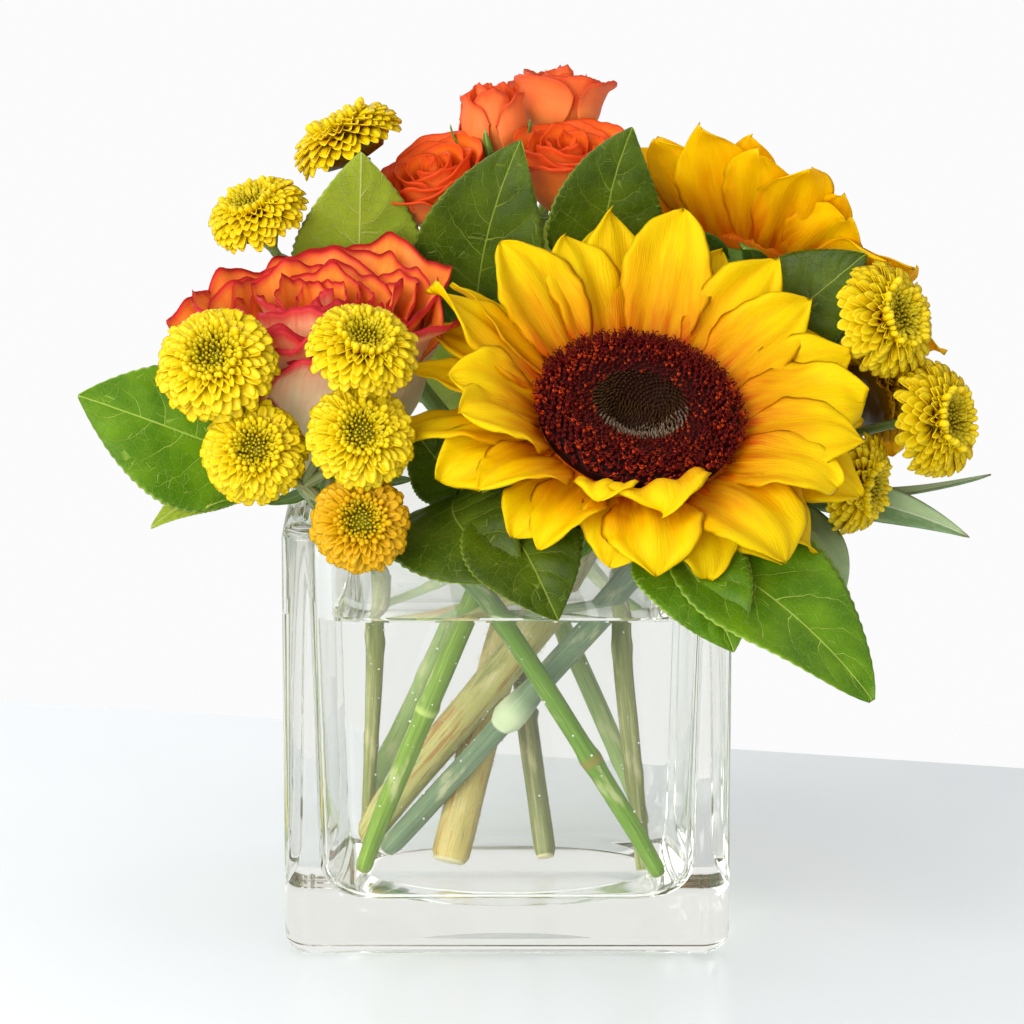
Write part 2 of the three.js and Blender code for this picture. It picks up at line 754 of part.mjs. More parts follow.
// Leafy sprigs. A leaf runs from base to tip; bow moves its middle; face is the way its top looks.
const LEFT_SALAL = {
  stem: [[-43, 33, 17], [-40, 24, 85], [-47, 12, 112], [-58, 8, 131]],
  twigs: [
    [[-58, 8, 131], [-69, -14, 127], [-70, -38, 131], [-66, -51, 140]],
    [[-58, 8, 131], [-53, 18, 150], [-44, 17, 166]],
  ],
  leaves: [
    { base: [-44, 17, 163], tip: [-42, 3, 222], bow: [0, -1.5, 0], face: [0, 1, 0.2], width: 40 },
    { base: [-66, -51, 140], tip: [-120, -57, 162], bow: [0, -2, 1], face: [-0.1, -0.95, 0.3], width: 42 },
    { base: [-68, -34, 130], tip: [-84, -62, 131], bow: [0, 0, 3], face: [0, -0.15, 1], width: 20 },
    { base: [-70, -38, 132], tip: [-101, -46, 121.5], bow: [0, 0, 4], face: [0, -0.8, 0.6], width: 13 },
    { base: [-58, 8, 131], tip: [-112, 44, 140], bow: [0, 0, 8], face: [-0.2, 0.3, 0.9], width: 40 },
  ],
};
const CENTRE_SALAL = {
  stem: [[11, 2, 16], [2.3, 35, 81], [5, 37, 110], [8, 34, 136], [-4, 26, 152], [-9, 12, 165]],
  twigs: [
    [[8, 34, 136], [30, 20, 160], [28, 4, 184]],
    [[30, 20, 160], [55, -6, 167], [73.5, -13, 170]],
    [[8, 34, 136], [8, 52, 152], [6, 62, 158]],
    [[5, 37, 112], [8, 50, 127], [8, 60, 133]],
    [[8, 50, 127], [22, 55, 131], [38, 59, 129]],
  ],
  leaves: [
    { base: [-9, 12, 163], tip: [4, 0, 226], bow: [-4, -5, 0], face: [-0.15, -0.95, 0.3], width: 41 },
    { base: [28, 4, 182], tip: [36, -3, 230], bow: [-3, 0, 0], face: [0.1, -0.95, 0.25], width: 34 },
    { base: [73.5, -13, 170], tip: [102.5, -17, 195.5], bow: [0, 0, 0], face: [-0.3, -0.85, 0.4], width: 32 },
    { base: [8, 58, 132], tip: [-50, 84, 150], bow: [0, 3, 2], face: [-0.3, 0.8, 0.5], width: 40 },
    { base: [36, 58, 129], tip: [64, 108, 100], bow: [0, 0, 2], face: [0.3, 0.5, 0.8], width: 36 },
    { base: [8, 58, 132], tip: [-8, 112, 112], bow: [0, 0, 9], face: [0, 0.5, 0.85], width: 44 },
    { base: [20, 54, 132], tip: [20, 106, 134], bow: [0, 0, 8], face: [0, 0.3, 0.95], width: 34 },
    { base: [6, 62, 158], tip: [-8, 90, 202], bow: [0, 4, -3], face: [0, 0.9, 0.4], width: 42 },
  ],
};
const FRONT_SALAL = {
  stem: [
    [-45, 43, 18],
    [-16.6, 5, 86.4],
    [-11, -20, 115],
    [-12, -38, 129],
    [-6, -60, 131],
    [16, -71, 129],
    [46, -74, 127],
  ],
  twigs: [],
  leaves: [
    { base: [-14, -48, 131], tip: [5, -88, 115], bow: [-8, -4, 4], face: [-0.4, -0.5, 0.75], width: 42 },
    { base: [-2, -64, 131], tip: [14, -92, 105.5], bow: [0, -6, 3], face: [0, -0.8, 0.6], width: 34 },
    { base: [46, -74, 125.5], tip: [100, -105, 86], bow: [3, -5, 4], face: [0.25, -0.6, 0.75], width: 44 },
    { base: [40, -74, 127], tip: [62, -104, 99.5], bow: [2, -5, 3], face: [0, -0.7, 0.7], width: 32 },
  ],
};
const SAGE = {
  stem: [
    [-35, 6, 17.5],
    [25.1, -30, 92.5],
    [42, -35, 112],
    [53, -35, 127],
    [66, -31, 129],
    [78, -23, 126],
  ],
  twigs: [],
  leaves: [
    { base: [76, -25, 126], tip: [96, -47, 103], bow: [3, -4, 3], face: [0.4, -0.7, 0.5], width: 13 },
    { base: [78, -23, 126], tip: [133, -26, 114.5], bow: [0, 0, 4], face: [0.1, -0.85, 0.5], width: 12 },
    { base: [78, -22, 126], tip: [141, -2, 128], bow: [0, 0, -3], face: [0, -0.2, 1], width: 8 },
    { base: [70, -30, 128], tip: [97.5, -60, 96.7], bow: [4, -4, 4], face: [0.3, -0.7, 0.5], width: 6 },
  ],
};

function addSprig(name, sprig, leafForm, colour, radii) {
  addNode(
    name,
    joined([
      standingStem(sprig.stem, radii, 5),
      ...sprig.twigs.map((path) => tubeForm(path, [1.7, 1.5], 4, 14)),
      ...sprig.leaves.map(leafForm),
    ]),
    colour,
  );
}
addSprig('left_salal_sprig', LEFT_SALAL, salalLeaf, COLOURS.leaf, [2.3, 2.3, 2]);
addSprig('centre_salal_sprig', CENTRE_SALAL, salalLeaf, COLOURS.leaf, [3, 2.8, 2]);
addSprig('front_salal_sprig', FRONT_SALAL, salalLeaf, COLOURS.leaf, [2.6, 2.4, 1.8]);
addSprig('sage_sprig', SAGE, sageLeaf, COLOURS.sage, [3.2, 3.2, 2]);

addNode(
  'glass_vase',
  toSolid(vaseForm()),
  COLOURS.glass,
  { roughness: 0.05, transparent: true, opacity: 0.35 },
);
addNode(
  'water',
  stemHoles.reduce((water, hole) => water.subtract(toSolid(hole)), toSolid(waterForm())),
  COLOURS.water,
  { roughness: 0.05, transparent: true, opacity: 0.3 },
);

export default bouquet;
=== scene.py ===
"""Looks of a mixed bouquet with two sunflowers in a square pressed-glass vase.

Places and sizes are in millimetres, as in the solids, and turn into metres when a mesh is made.
+Z is up and -Y is the front. A bloom is built in its own frame, where +Z is the way it faces.
Every mesh carries two attributes for its materials:
place = (side to side from -1 to 1, base to tip from 0 to 1, a random number for each repeat),
spot = (millimetres across, millimetres along, the same random number).
"""

import math

import bpy
import numpy as np
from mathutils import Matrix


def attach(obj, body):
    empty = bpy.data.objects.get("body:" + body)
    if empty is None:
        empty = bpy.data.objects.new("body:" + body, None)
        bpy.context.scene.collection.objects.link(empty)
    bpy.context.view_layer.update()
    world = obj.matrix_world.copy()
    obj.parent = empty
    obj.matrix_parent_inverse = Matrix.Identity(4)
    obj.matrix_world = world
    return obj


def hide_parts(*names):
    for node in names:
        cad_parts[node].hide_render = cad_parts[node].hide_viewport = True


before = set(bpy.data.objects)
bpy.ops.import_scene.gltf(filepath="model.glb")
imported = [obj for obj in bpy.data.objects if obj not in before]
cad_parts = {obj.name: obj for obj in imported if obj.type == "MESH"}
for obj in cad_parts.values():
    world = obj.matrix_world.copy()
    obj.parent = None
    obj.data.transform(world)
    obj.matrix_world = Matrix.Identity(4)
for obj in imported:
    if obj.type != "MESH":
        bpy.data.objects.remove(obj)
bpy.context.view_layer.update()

MM = 0.001
UP = np.array([0.0, 0.0, 1.0])
GOLDEN_ANGLE = math.pi * (3 - math.sqrt(5))

# ------------------------------------------------------------ driving dimensions, as in the solids

# Space between the solids of a bloom and of what it sits on
GAP = 0.3

VASE = dict(
    half=63.5, height=123.5, corner=8, foot=6, rim_round=2.2, cavity_floor=53.5,
    cavity_rim=56.5, cavity_corner=18, floor_top=14, fillet=10,
)
WATER_LEVEL = 97

# Disc of a sunflower, the plate under it that carries the rays, and the green cup behind
DISC_RADIUS = 28.6
PLATE_RADIUS = 30.5
PLATE_DEPTH = 2.7
CALYX_DEPTH = 21

# Degrees by which the rays rise from the plate and bend on their way, round the face of the flower
FRONT_SUNFLOWER = dict(
    centre=(36.3, -60, 155.5), facing=(0.146, -0.5545, 0.8195),
    lift=dict(upper=34, side=20, lower=30), bend=dict(upper=6, side=-24, lower=-70), seed=11,
)
BACK_SUNFLOWER = dict(
    centre=(73, 30, 172), facing=(0.46, 0.7, 0.545),
    lift=dict(upper=16, side=12, lower=16), bend=dict(upper=-10, side=-16, lower=-14), seed=23,
)
# Rays as the photo shows them: (azimuth, layer, length, half width, more lift, more bend)
FRONT_RAYS = [
    (10, 0, 40, 13, 0, 0), (22, 1, 42, 12, 0, 0), (28, 0, 39, 12, 6, -8), (42, 0, 42, 12.5, 0, 0),
    (47, 1, 40, 11, 0, 0), (57, 1, 43, 12, 0, 0), (68, 0, 45, 13, 0, -8), (84, 1, 46, 12.5, 6, 0),
    (98, 0, 37, 12, -3, -14), (90, 2, 42, 11, 8, 0), (118, 0, 40, 14, 0, -10), (110, 1, 40, 11.5, 0, 0),
    (130, 1, 41, 12, 0, 0), (144, 0, 43, 12, 0, 0), (157, 1, 38, 12.5, 0, 0), (168, 0, 30, 13, 12, -10),
    (174, 1, 38, 13, 0, 0), (186, 0, 32, 14.5, 22, -10), (191, 1, 34, 13, 0, -10),
    (207, 0, 33, 13.5, 2, 0), (228, 1, 29, 11, 0, 0), (240, 0, 19, 9, 34, -30), (250, 1, 27, 11, 0, 0),
    (265, 0, 24, 14, 46, -80),
    (262, 1, 32, 14, 10, 0), (281, 1, 31, 12, 0, 0), (297, 0, 41, 16, 0, 0), (313, 1, 38, 12, 0, 0),
    (323, 0, 36, 13.5, 8, 0), (337, 1, 41, 13.5, 0, 0), (340, 0, 38, 13.5, 6, 0), (356, 0, 39, 15, 4, 0),
    (2, 1, 42, 13, 0, 0), (73, 2, 42, 11, 4, 0), (35, 2, 40, 11, 0, 0), (140, 2, 40, 11, 0, 0),
    (218, 2, 28, 11, 0, 0), (306, 2, 34, 12, 0, 0), (350, 2, 40, 12, 0, 0),
]
BACK_RAYS = [
    (8, 0, 35, 11, 0, 0), (20, 1, 37, 11, 0, 0), (33, 0, 36, 11, 0, 0), (46, 1, 38, 11, 0, 0),
    (58, 0, 35, 11, 0, 0), (72, 0, 34, 10, 0, 0), (80, 1, 40, 10, 6, 0), (93, 1, 43, 12.5, 10, 0),
    (104, 0, 38, 10.5, 0, 0), (109, 1, 40, 11.5, 8, 0), (122, 1, 42, 12, 10, 0), (133, 0, 33, 10, 0, 0),
    (138, 1, 35, 12, 8, 0), (152, 1, 37, 11, 4, 0), (162, 0, 34, 11, 0, 0), (176, 1, 36, 11, 0, 0),
    (190, 0, 34, 11, 0, 0), (203, 1, 35, 11, 0, 0), (216, 0, 33, 11, 0, 0), (229, 1, 34, 11, 0, 0),
    (240, 0, 30, 11, 0, 0), (255, 1, 33, 11, 0, 0), (268, 0, 33, 11, 0, 0), (281, 1, 34, 11, 0, 0),
    (294, 0, 33, 11, 0, 0), (307, 1, 34, 11, 0, 0), (320, 0, 34, 11, 0, 0), (333, 1, 35, 11, 0, 0),
    (346, 0, 35, 11, 0, 0), (358, 1, 36, 11, 0, 0),
]
BICOLOUR_ROSE = dict(
    foot=(-50, -20, 133), facing=(-0.08, -0.19, 0.97), petals=27, belly=28.5, mouth=37,
    inner=57, outer=58, seed=5, crown=0.08, ruffle=1.0,
)
SPRAY_ROSES = [
    dict(
        foot=(-16, 28, 197), facing=(-0.3, -0.3, 0.9), petals=16, belly=14.5, mouth=18, inner=23,
        outer=23, seed=41, crown=0.14, ruffle=0.25,
    ),
    dict(
        foot=(-3, 36, 213), facing=(-0.1, -0.1, 1), petals=10, belly=10.5, mouth=9, inner=26, outer=24,
        seed=42, crown=0.2, ruffle=0.5, coral=True,
    ),
    dict(
        foot=(14.5, 48, 217), facing=(0.1, 0.15, 1), petals=14, belly=12.5, mouth=15, inner=24, outer=22,
        seed=47, crown=0.1, ruffle=0.4, coral=True,
    ),
    dict(
        foot=(17, 25, 200.5), facing=(0.05, -0.3, 0.95), petals=17, belly=13, mouth=17, inner=25,
        outer=25, seed=44, crown=0.14, ruffle=0.5,
    ),
]
# (centre, the way it faces, radius)
POMPONS = [
    ((-46, 23, 221), (-0.45, 0.05, 0.9), 16.5),
    ((-72, 8, 202), (-0.35, -0.35, 0.85), 14.5),
    ((-80, -70, 172.5), (-0.15, -0.75, 0.65), 17),
    ((-70, -76, 149.5), (0.1, -0.9, 0.45), 14.6),
    ((-40, -78, 178), (0.2, -0.55, 0.8), 15.3),
    ((-40.5, -80, 154.5), (0.15, -0.85, 0.5), 15),
    ((-40.5, -83, 131), (0.1, -0.9, 0.35), 13.8),
    ((106.5, -26.5, 177.5), (0.7, -0.62, 0.35), 16.8),
    ((121, -27, 149), (0.8, -0.55, 0.2), 16.6),
    ((104, -8, 152.5), (0.75, 0.5, 0.4), 15),
    ((98, -38, 133), (0.85, -0.45, -0.1), 14.5),
]
# Pompons that lie in shade and get a darker copy of the pompon colours as painted shade, counted from 0
SHADED_POMPONS = (6, 9)

# ------------------------------------------------------------ small tools


def seeded(seed):
    """Random numbers from 0 to 1, the same ones as the solids use."""
    state = seed * 7919 + 17

    def draw():
        nonlocal state
        state = (state * 16807) % 2147483647
        return state / 2147483647

    return draw


def lerp(a, b, t):
    return a + (b - a) * t


def smooth(x, low, high):
    t = np.clip((x - low) / (high - low), 0, 1)
    return t * t * (3 - 2 * t)


def unit(v):
    v = np.asarray(v, float)
    return v / np.maximum(np.linalg.norm(v, axis=-1, keepdims=True), 1e-12)


def ring(angle):
    """Point at an angle on the unit circle of the XY plane."""
    return np.stack([np.cos(angle), np.sin(angle), np.zeros_like(angle)], -1)


def arch(base, middle, tip, t):
    """Points and directions at shares t of a curve from base to tip, which middle draws aside."""
    points = (1 - t) ** 2 * base + 2 * t * (1 - t) * middle + t**2 * tip
    return points, unit(2 * (1 - t) * (middle - base) + 2 * t * (tip - middle))


def blade(spine, across, up, x, z):
    """Grid of the points that lie x across and z above each point of a spine."""
    return spine[:, None] + across[:, None] * x[..., None] + up[:, None] * z[..., None]


def golden(count, start=0.0):
    """Share of the way out, and direction, of each repeat of a golden spiral."""
    k = np.arange(count) + 0.5
    return np.sqrt(k / count), ring(k * GOLDEN_ANGLE + start)


def axes_of(z, x):
    """X, Y and Z axes of each repeat, from its Z and a direction square to that."""
    x = unit(x)
    return np.stack([x, np.cross(z, x), z], 1)


def closed_faces(rows, columns):
    """Faces of a body of closed rows of points: those between the rows, and its two ends."""
    index = np.arange(rows * columns).reshape(rows, columns)
    after = np.roll(index, -1, axis=1)
    quads = np.stack([index[:-1], after[:-1], after[1:], index[1:]], -1).reshape(-1, 4)
    return [quads, index[0][::-1][None], index[-1][None]]


class Frame:
    """Where a bloom stands: +Z is the way it faces, and +Y is the upper side of its face."""

    def __init__(self, centre, facing):
        z = unit(facing)
        x = unit(np.cross(UP, z))
        self.centre = np.asarray(centre, float)
        self.axes = np.stack([x, np.cross(z, x), z])

    def place(self, points):
        return np.asarray(points, float) @ self.axes + self.centre


class Pile:
    """Gathers the points, faces and attributes of one piece."""

    def __init__(self):
        self.points, self.place, self.spot = [], [], []
        self.loops, self.sizes, self.slots = [], [], []
        self.count = 0

    def add(self, points, faces, place, spot, slot=0):
        points = np.asarray(points, float).reshape(-1, 3)
        self.points.append(points)
        self.place.append(np.asarray(place, float).reshape(-1, 3))
        self.spot.append(np.asarray(spot, float).reshape(-1, 3))
        groups = faces if isinstance(faces, list) else [faces]
        slots = slot if isinstance(slot, list) else [slot] * len(groups)
        for group, number in zip(groups, slots):
            group = np.atleast_2d(group)
            self.loops.append(group.ravel() + self.count)
            self.sizes.append(np.full(len(group), group.shape[1]))
            self.slots.append(np.full(len(group), number))
        self.count += len(points)

    def make(self, node, materials):
        """Turns the pile into a piece that stands for a node of the solids."""
        mesh = bpy.data.meshes.new(node + "_look")
        points = np.concatenate(self.points) * MM
        loops = np.concatenate(self.loops)
        sizes = np.concatenate(self.sizes)
        mesh.vertices.add(len(points))
        mesh.vertices.foreach_set("co", points.ravel())
        mesh.loops.add(len(loops))
        mesh.loops.foreach_set("vertex_index", loops)
        mesh.polygons.add(len(sizes))
        mesh.polygons.foreach_set("loop_start", np.concatenate([[0], np.cumsum(sizes)[:-1]]))
        mesh.update(calc_edges=True)
        for name, parts in (("place", self.place), ("spot", self.spot)):
            made = mesh.attributes.new(name, "FLOAT_VECTOR", "POINT")
            made.data.foreach_set("vector", np.concatenate(parts).ravel())
        for material in materials:
            mesh.materials.append(material)
        mesh.polygons.foreach_set("material_index", np.concatenate(self.slots))
        mesh.polygons.foreach_set("use_smooth", np.ones(len(sizes), bool))
        mesh.validate()
        piece = bpy.data.objects.new(node + "_look", mesh)
        bpy.context.scene.collection.objects.link(piece)
        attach(piece, "root")
        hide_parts(node)
        return piece


def sheet(grid, thickness):
    """Closed thin solid over a grid: its points, top and under faces, and each point's grid point.

    Rows run along the sheet and columns across it; its top side is along x across.
    """
    rows, columns = grid.shape[:2]
    along = np.gradient(grid, axis=0)
    across = np.gradient(grid, axis=1)
    normal = unit(np.cross(along, across))
    index = np.arange(rows * columns).reshape(rows, columns)
    inner = np.zeros((rows, columns), bool)
    inner[1:-1, 1:-1] = True
    half = normal * (thickness / 2)
    top = grid + half * inner[..., None]
    under = (grid - half)[inner]
    low = index.copy()
    low[inner] = rows * columns + np.arange(inner.sum())
    source = np.concatenate([index.ravel(), index[inner]])

    def quads(i, turned):
        a, b, c, d = i[:-1, :-1], i[1:, :-1], i[1:, 1:], i[:-1, 1:]
        order = (a, d, c, b) if turned else (a, b, c, d)
        return np.stack(order, -1).reshape(-1, 4)

    return np.concatenate([top.reshape(-1, 3), under]), quads(index, False), quads(low, True), source


def add_sheet(pile, grid, u, v, number, thickness, slot=0, where=None, width=None, under=None):
    """Adds a thin solid over a grid to a pile. Its underside may have a material slot of its own."""
    points, top, bottom, source = sheet(grid, thickness)
    rows, columns = grid.shape[:2]
    uu, vv = np.broadcast_to(u, (rows, columns)), np.broadcast_to(v, (rows, columns))
    steps = np.linalg.norm(np.diff(grid[:, columns // 2], axis=0), axis=-1)
    length = np.concatenate([[0], np.cumsum(steps)])[:, None]
    half = np.linalg.norm(grid[:, -1] - grid[:, 0], axis=-1)[:, None] / 2 if width is None else width
    numbers = np.full((rows, columns), number)
    place = np.stack([uu, vv, numbers], -1).reshape(-1, 3)[source]
    spot = np.stack(np.broadcast_arrays(uu * half, length, numbers), -1).reshape(-1, 3)[source]
    slots = [slot, slot if under is None else under]
    pile.add(points if where is None else where.place(points), [top, bottom], place, spot, slots)


def catmull(path, count):
    """Points along a smooth curve through a path, ends and middle as three.js draws it."""
    path = np.asarray(path, float)
    ends = np.concatenate([[2 * path[0] - path[1]], path, [2 * path[-1] - path[-2]]])
    t = np.linspace(0, len(path) - 1, count)
    i = np.minimum(t.astype(int), len(path) - 2)
    w = (t - i)[:, None]
    a, b, c, d = ends[i], ends[i + 1], ends[i + 2], ends[i + 3]
    m, n = (c - a) / 2, (d - b) / 2
    return b + m * w + (3 * (c - b) - 2 * m - n) * w**2 + (2 * (b - c) + m + n) * w**3


def carried(points):
    """Directions along a curve, and two across it that turn as little as possible."""
    along = unit(np.gradient(points, axis=0))
    side = np.array([1.0, 0.0, 0.0])
    sides = []
    for direction in along:
        side = unit(side - direction * np.dot(side, direction))
        sides.append(side)
    sides = np.array(sides)
    return along, sides, np.cross(along, sides)


def add_tube(pile, points, radii, sides, number=0.0, slot=0, where=None, bumps=None):
    """Adds a tube along points, its ends a little rounded. bumps(angle, mm along) scales its radius."""
    points = np.asarray(points, float)
    count = len(points)
    radii = np.interp(np.linspace(0, 1, count), np.linspace(0, 1, len(radii)), radii)
    _, side, rise = carried(points)
    angle = np.arange(sides) * (2 * math.pi / sides)
    steps = np.linalg.norm(np.diff(points, axis=0), axis=-1)
    length = np.concatenate([[0], np.cumsum(steps)])
    total = length[-1]
    scale = np.ones((count, sides)) if bumps is None else bumps(angle[None], length[:, None])
    rounding = 0.8 + 0.2 * smooth(np.minimum(length, total - length), 0, 0.6)
    spread = radii[:, None] * scale * rounding[:, None]
    rings = points[:, None] + spread[..., None] * (
        side[:, None] * np.cos(angle)[None, :, None] + rise[:, None] * np.sin(angle)[None, :, None]
    )
    numbers = np.full((count, sides), number)
    shares = (length / total)[:, None]
    place = np.stack(np.broadcast_arrays(np.cos(angle)[None], shares, numbers), -1)
    spot = np.stack(np.broadcast_arrays(angle[None] * radii[:, None], length[:, None], numbers), -1)
    rings = rings.reshape(-1, 3)
    placed = rings if where is None else where.place(rings)
    pile.add(placed, closed_faces(count, sides), place, spot, slot)


def scatter(pile, template, origins, axes, sizes, numbers, slot=0, where=None):
    """Adds a copy of a template at each origin. axes[i] are its X, Y and Z there."""
    points, faces, place, spot = template
    m, n = len(origins), len(points)
    moved = np.einsum("pk,mkj->mpj", points, axes) * np.asarray(sizes)[:, None, None]
    moved = (moved + np.asarray(origins)[:, None]).reshape(-1, 3)
    shift = (np.arange(m) * n)[:, None, None]
    copied = [(group[None] + shift).reshape(-1, group.shape[1]) for group in faces]
    numbers = np.repeat(np.asarray(numbers, float), n)
    place = np.tile(place, (m, 1))
    spot = np.tile(spot, (m, 1))
    place[:, 2] = numbers
    spot[:, 2] = numbers
    pile.add(moved if where is None else where.place(moved), copied, place, spot, slot)


def template_of(pile):
    """A pile's points, faces and attributes, for scatter."""
    loops, sizes = np.concatenate(pile.loops), np.concatenate(pile.sizes)
    starts = np.concatenate([[0], np.cumsum(sizes)[:-1]])
    faces = [
        np.stack([loops[starts[sizes == k] + i] for i in range(k)], -1) for k in np.unique(sizes)
    ]
    return np.concatenate(pile.points), faces, np.concatenate(pile.place), np.concatenate(pile.spot)


# ------------------------------------------------------------ materials


def srgb(red, green, blue):
    """Linear colour of 8-bit screen values."""
    return tuple(
        c / 255 / 12.92 if c <= 10 else ((c / 255 + 0.055) / 1.055) ** 2.4 for c in (red, green, blue)
    ) + (1.0,)


def between(a, b, share):
    """Colour at a share of the way from one to another."""
    return tuple(lerp(np.array(a), np.array(b), share))


class Value:
    """A number, vector or colour in a node tree. Arithmetic on it adds the nodes that work it out."""

    def __init__(self, graph, socket):
        self.graph = graph
        self.socket = socket

    def __add__(self, other):
        return self.graph.math("ADD", self, other)

    def __sub__(self, other):
        return self.graph.math("SUBTRACT", self, other)

    def __mul__(self, other):
        return self.graph.math("MULTIPLY", self, other)

    def __pow__(self, other):
        return self.graph.math("POWER", self, other)

    def __gt__(self, other):
        return self.graph.math("GREATER_THAN", self, other)

    def __abs__(self):
        return self.graph.math("ABSOLUTE", self)


class Graph:
    """The node tree of one material."""

    def __init__(self, name):
        self.material = bpy.data.materials.new(name)
        self.material.use_nodes = True
        self.tree = self.material.node_tree
        self.tree.nodes.clear()

    def add(self, kind, settings=None, inputs=None, output=0):
        """Adds a node and gives the value of one of its outputs. An input of None is left as it is."""
        made = self.tree.nodes.new("ShaderNode" + kind)
        for key, value in (settings or {}).items():
            setattr(made, key, value)
        for key, value in (inputs or {}).items():
            if isinstance(value, Value):
                self.tree.links.new(value.socket, made.inputs[key])
            elif value is not None:
                made.inputs[key].default_value = value
        return Value(self, made.outputs[output])

    def math(self, operation, a, b=0.0, clamp=False):
        return self.add("Math", dict(operation=operation, use_clamp=clamp), {0: a, 1: b})

    def mix(self, share, a, b):
        return self.add("Mix", dict(data_type="RGBA"), {0: share, 6: a, 7: b}, 2)

    def ramp(self, share, stops):
        colour = self.add("ValToRGB", None, {0: share})
        elements = colour.socket.node.color_ramp.elements
        while len(elements) < len(stops):
            elements.new(0.5)
        for element, (at, shade) in zip(elements, stops):
            element.position = at
            element.color = shade
        return colour

    def level(self, value, low, high, to_low=0.0, to_high=1.0):
        """Goes smoothly from to_low to to_high while the value goes from low to high."""
        settings = dict(interpolation_type="SMOOTHSTEP", clamp=True)
        return self.add("MapRange", settings, {0: value, 1: low, 2: high, 3: to_low, 4: to_high})

    def parts(self, vector):
        node = self.add("SeparateXYZ", None, {0: vector}).socket.node
        return [Value(self, socket) for socket in node.outputs]

    def attribute(self, name):
        return self.parts(self.add("Attribute", dict(attribute_name=name), None, "Vector"))

    def vector(self, x, y, z=0.0):
        return self.add("CombineXYZ", None, {0: x, 1: y, 2: z})

    def noise(self, vector, scale=1.0, detail=2.0, rough=0.5, output=0):
        inputs = {"Vector": vector, "Scale": scale, "Detail": detail, "Roughness": rough}
        return self.add("TexNoise", None, inputs, output)

    def cracks(self, vector, scale, jitter=1.0):
        """Distance to the nearest edge between cells."""
        inputs = {"Vector": vector, "Scale": scale, "Randomness": jitter}
        return self.add("TexVoronoi", dict(feature="DISTANCE_TO_EDGE"), inputs, "Distance")

    def bump(self, height, distance, strength):
        return self.add("Bump", None, {"Height": height, "Distance": distance * MM, "Strength": strength})

    def principled(self, colour, roughness, normal=None, specular=0.5, **sockets):
        inputs = {"Base Color": colour, "Roughness": roughness, "Normal": normal}
        inputs["Specular IOR Level"] = specular
        inputs.update({key.replace("_", " "): value for key, value in sockets.items()})
        return self.add("BsdfPrincipled", None, inputs)

    def finish(self, shader):
        output = self.tree.nodes.new("ShaderNodeOutputMaterial")
        self.tree.links.new(shader.socket, output.inputs[0])
        return self.material

    def thin(self, colour, glow, share, roughness, normal, specular):
        """Finish of a petal or leaf, which lets a share of the light through."""
        front = self.principled(colour, roughness, normal, specular)
        back = self.add("BsdfTranslucent", None, {"Color": glow, "Normal": normal})
        return self.finish(self.add("MixShader", None, {0: share, 1: front, 2: back}))


def ray_petal_material(name, base, middle, tip, glow):
    """Sunflower ray: orange at its root, partly its own colour and partly painted shade where the rays
    overlap and meet the disc, yellow above, with fine lengthwise veins and painted shade along its folds.
    """
    g = Graph(name)
    u, v, number = g.attribute("place")
    x, y, _ = g.attribute("spot")
    fine = g.noise(g.vector(x * 2.4, y * 0.09, number * 37.0), detail=4.0, rough=0.6)
    broad = g.noise(g.vector(x * 0.45, y * 0.07, number * 91.0))
    along = v + (broad - 0.5) * 0.55 + (fine - 0.5) * 0.1
    half = between(base, middle, 0.5)
    # Deep orange at the root: partly the ray's own colour, partly painted shade where the rays overlap and
    # meet the disc.
    colour = g.ramp(along, [(0.07, base), (0.25, half), (0.48, middle), (0.72, tip), (1.0, tip)])
    # Painted shade in the folds: along the two grooves the colour is drawn towards the middle yellow, darker
    # than the tips.
    groove = g.level(abs(abs(u) - 0.4), 0.0, 0.2, 0.35, 0.0)
    colour = g.mix(groove, colour, middle)
    colour = g.mix(g.level(fine, 0.52, 0.72, 0.0, 0.45), colour, middle)
    normal = g.bump(fine, 0.34, 0.85)
    return g.thin(colour, glow, share=0.4, roughness=0.5, normal=normal, specular=0.14)


def rose_petal_material(name, edge, face, root, edge_share, reach):
    """One side of a rose petal: a thin deep edge, its face, and a paler root up to reach."""
    g = Graph(name)
    u, v, number = g.attribute("place")
    x, y, _ = g.attribute("spot")
    veins = g.noise(g.vector(x * 0.9, y * 0.09, number * 53.0), detail=5.0, rough=0.65)
    cloud = g.noise(g.vector(x, y, number * 17.0), 0.1)
    rim_top = g.level(v, 1 - 2.0 * edge_share, 1 - 0.15 * edge_share)
    rim_side = g.level(abs(u), 1 - edge_share, 1.0) * g.level(v, 0.35, 0.7)
    rim = g.math("MAXIMUM", rim_top, rim_side)
    rim = g.math("MULTIPLY", rim, g.level(veins + rim * 0.6, 0.3, 0.75), clamp=True)
    along = v + (cloud - 0.5) * 0.55 + (veins - 0.5) * 0.5
    half = between(root, face, 0.6)
    body = g.ramp(along, [(max(0.0, reach - 0.4), root), (reach, half), (min(1.0, reach + 0.3), face)])
    colour = g.mix(rim, body, edge)
    normal = g.bump(veins + cloud * 0.5, 0.3, 0.5)
    return g.thin(colour, colour, share=0.3, roughness=0.45, normal=normal, specular=0.2)


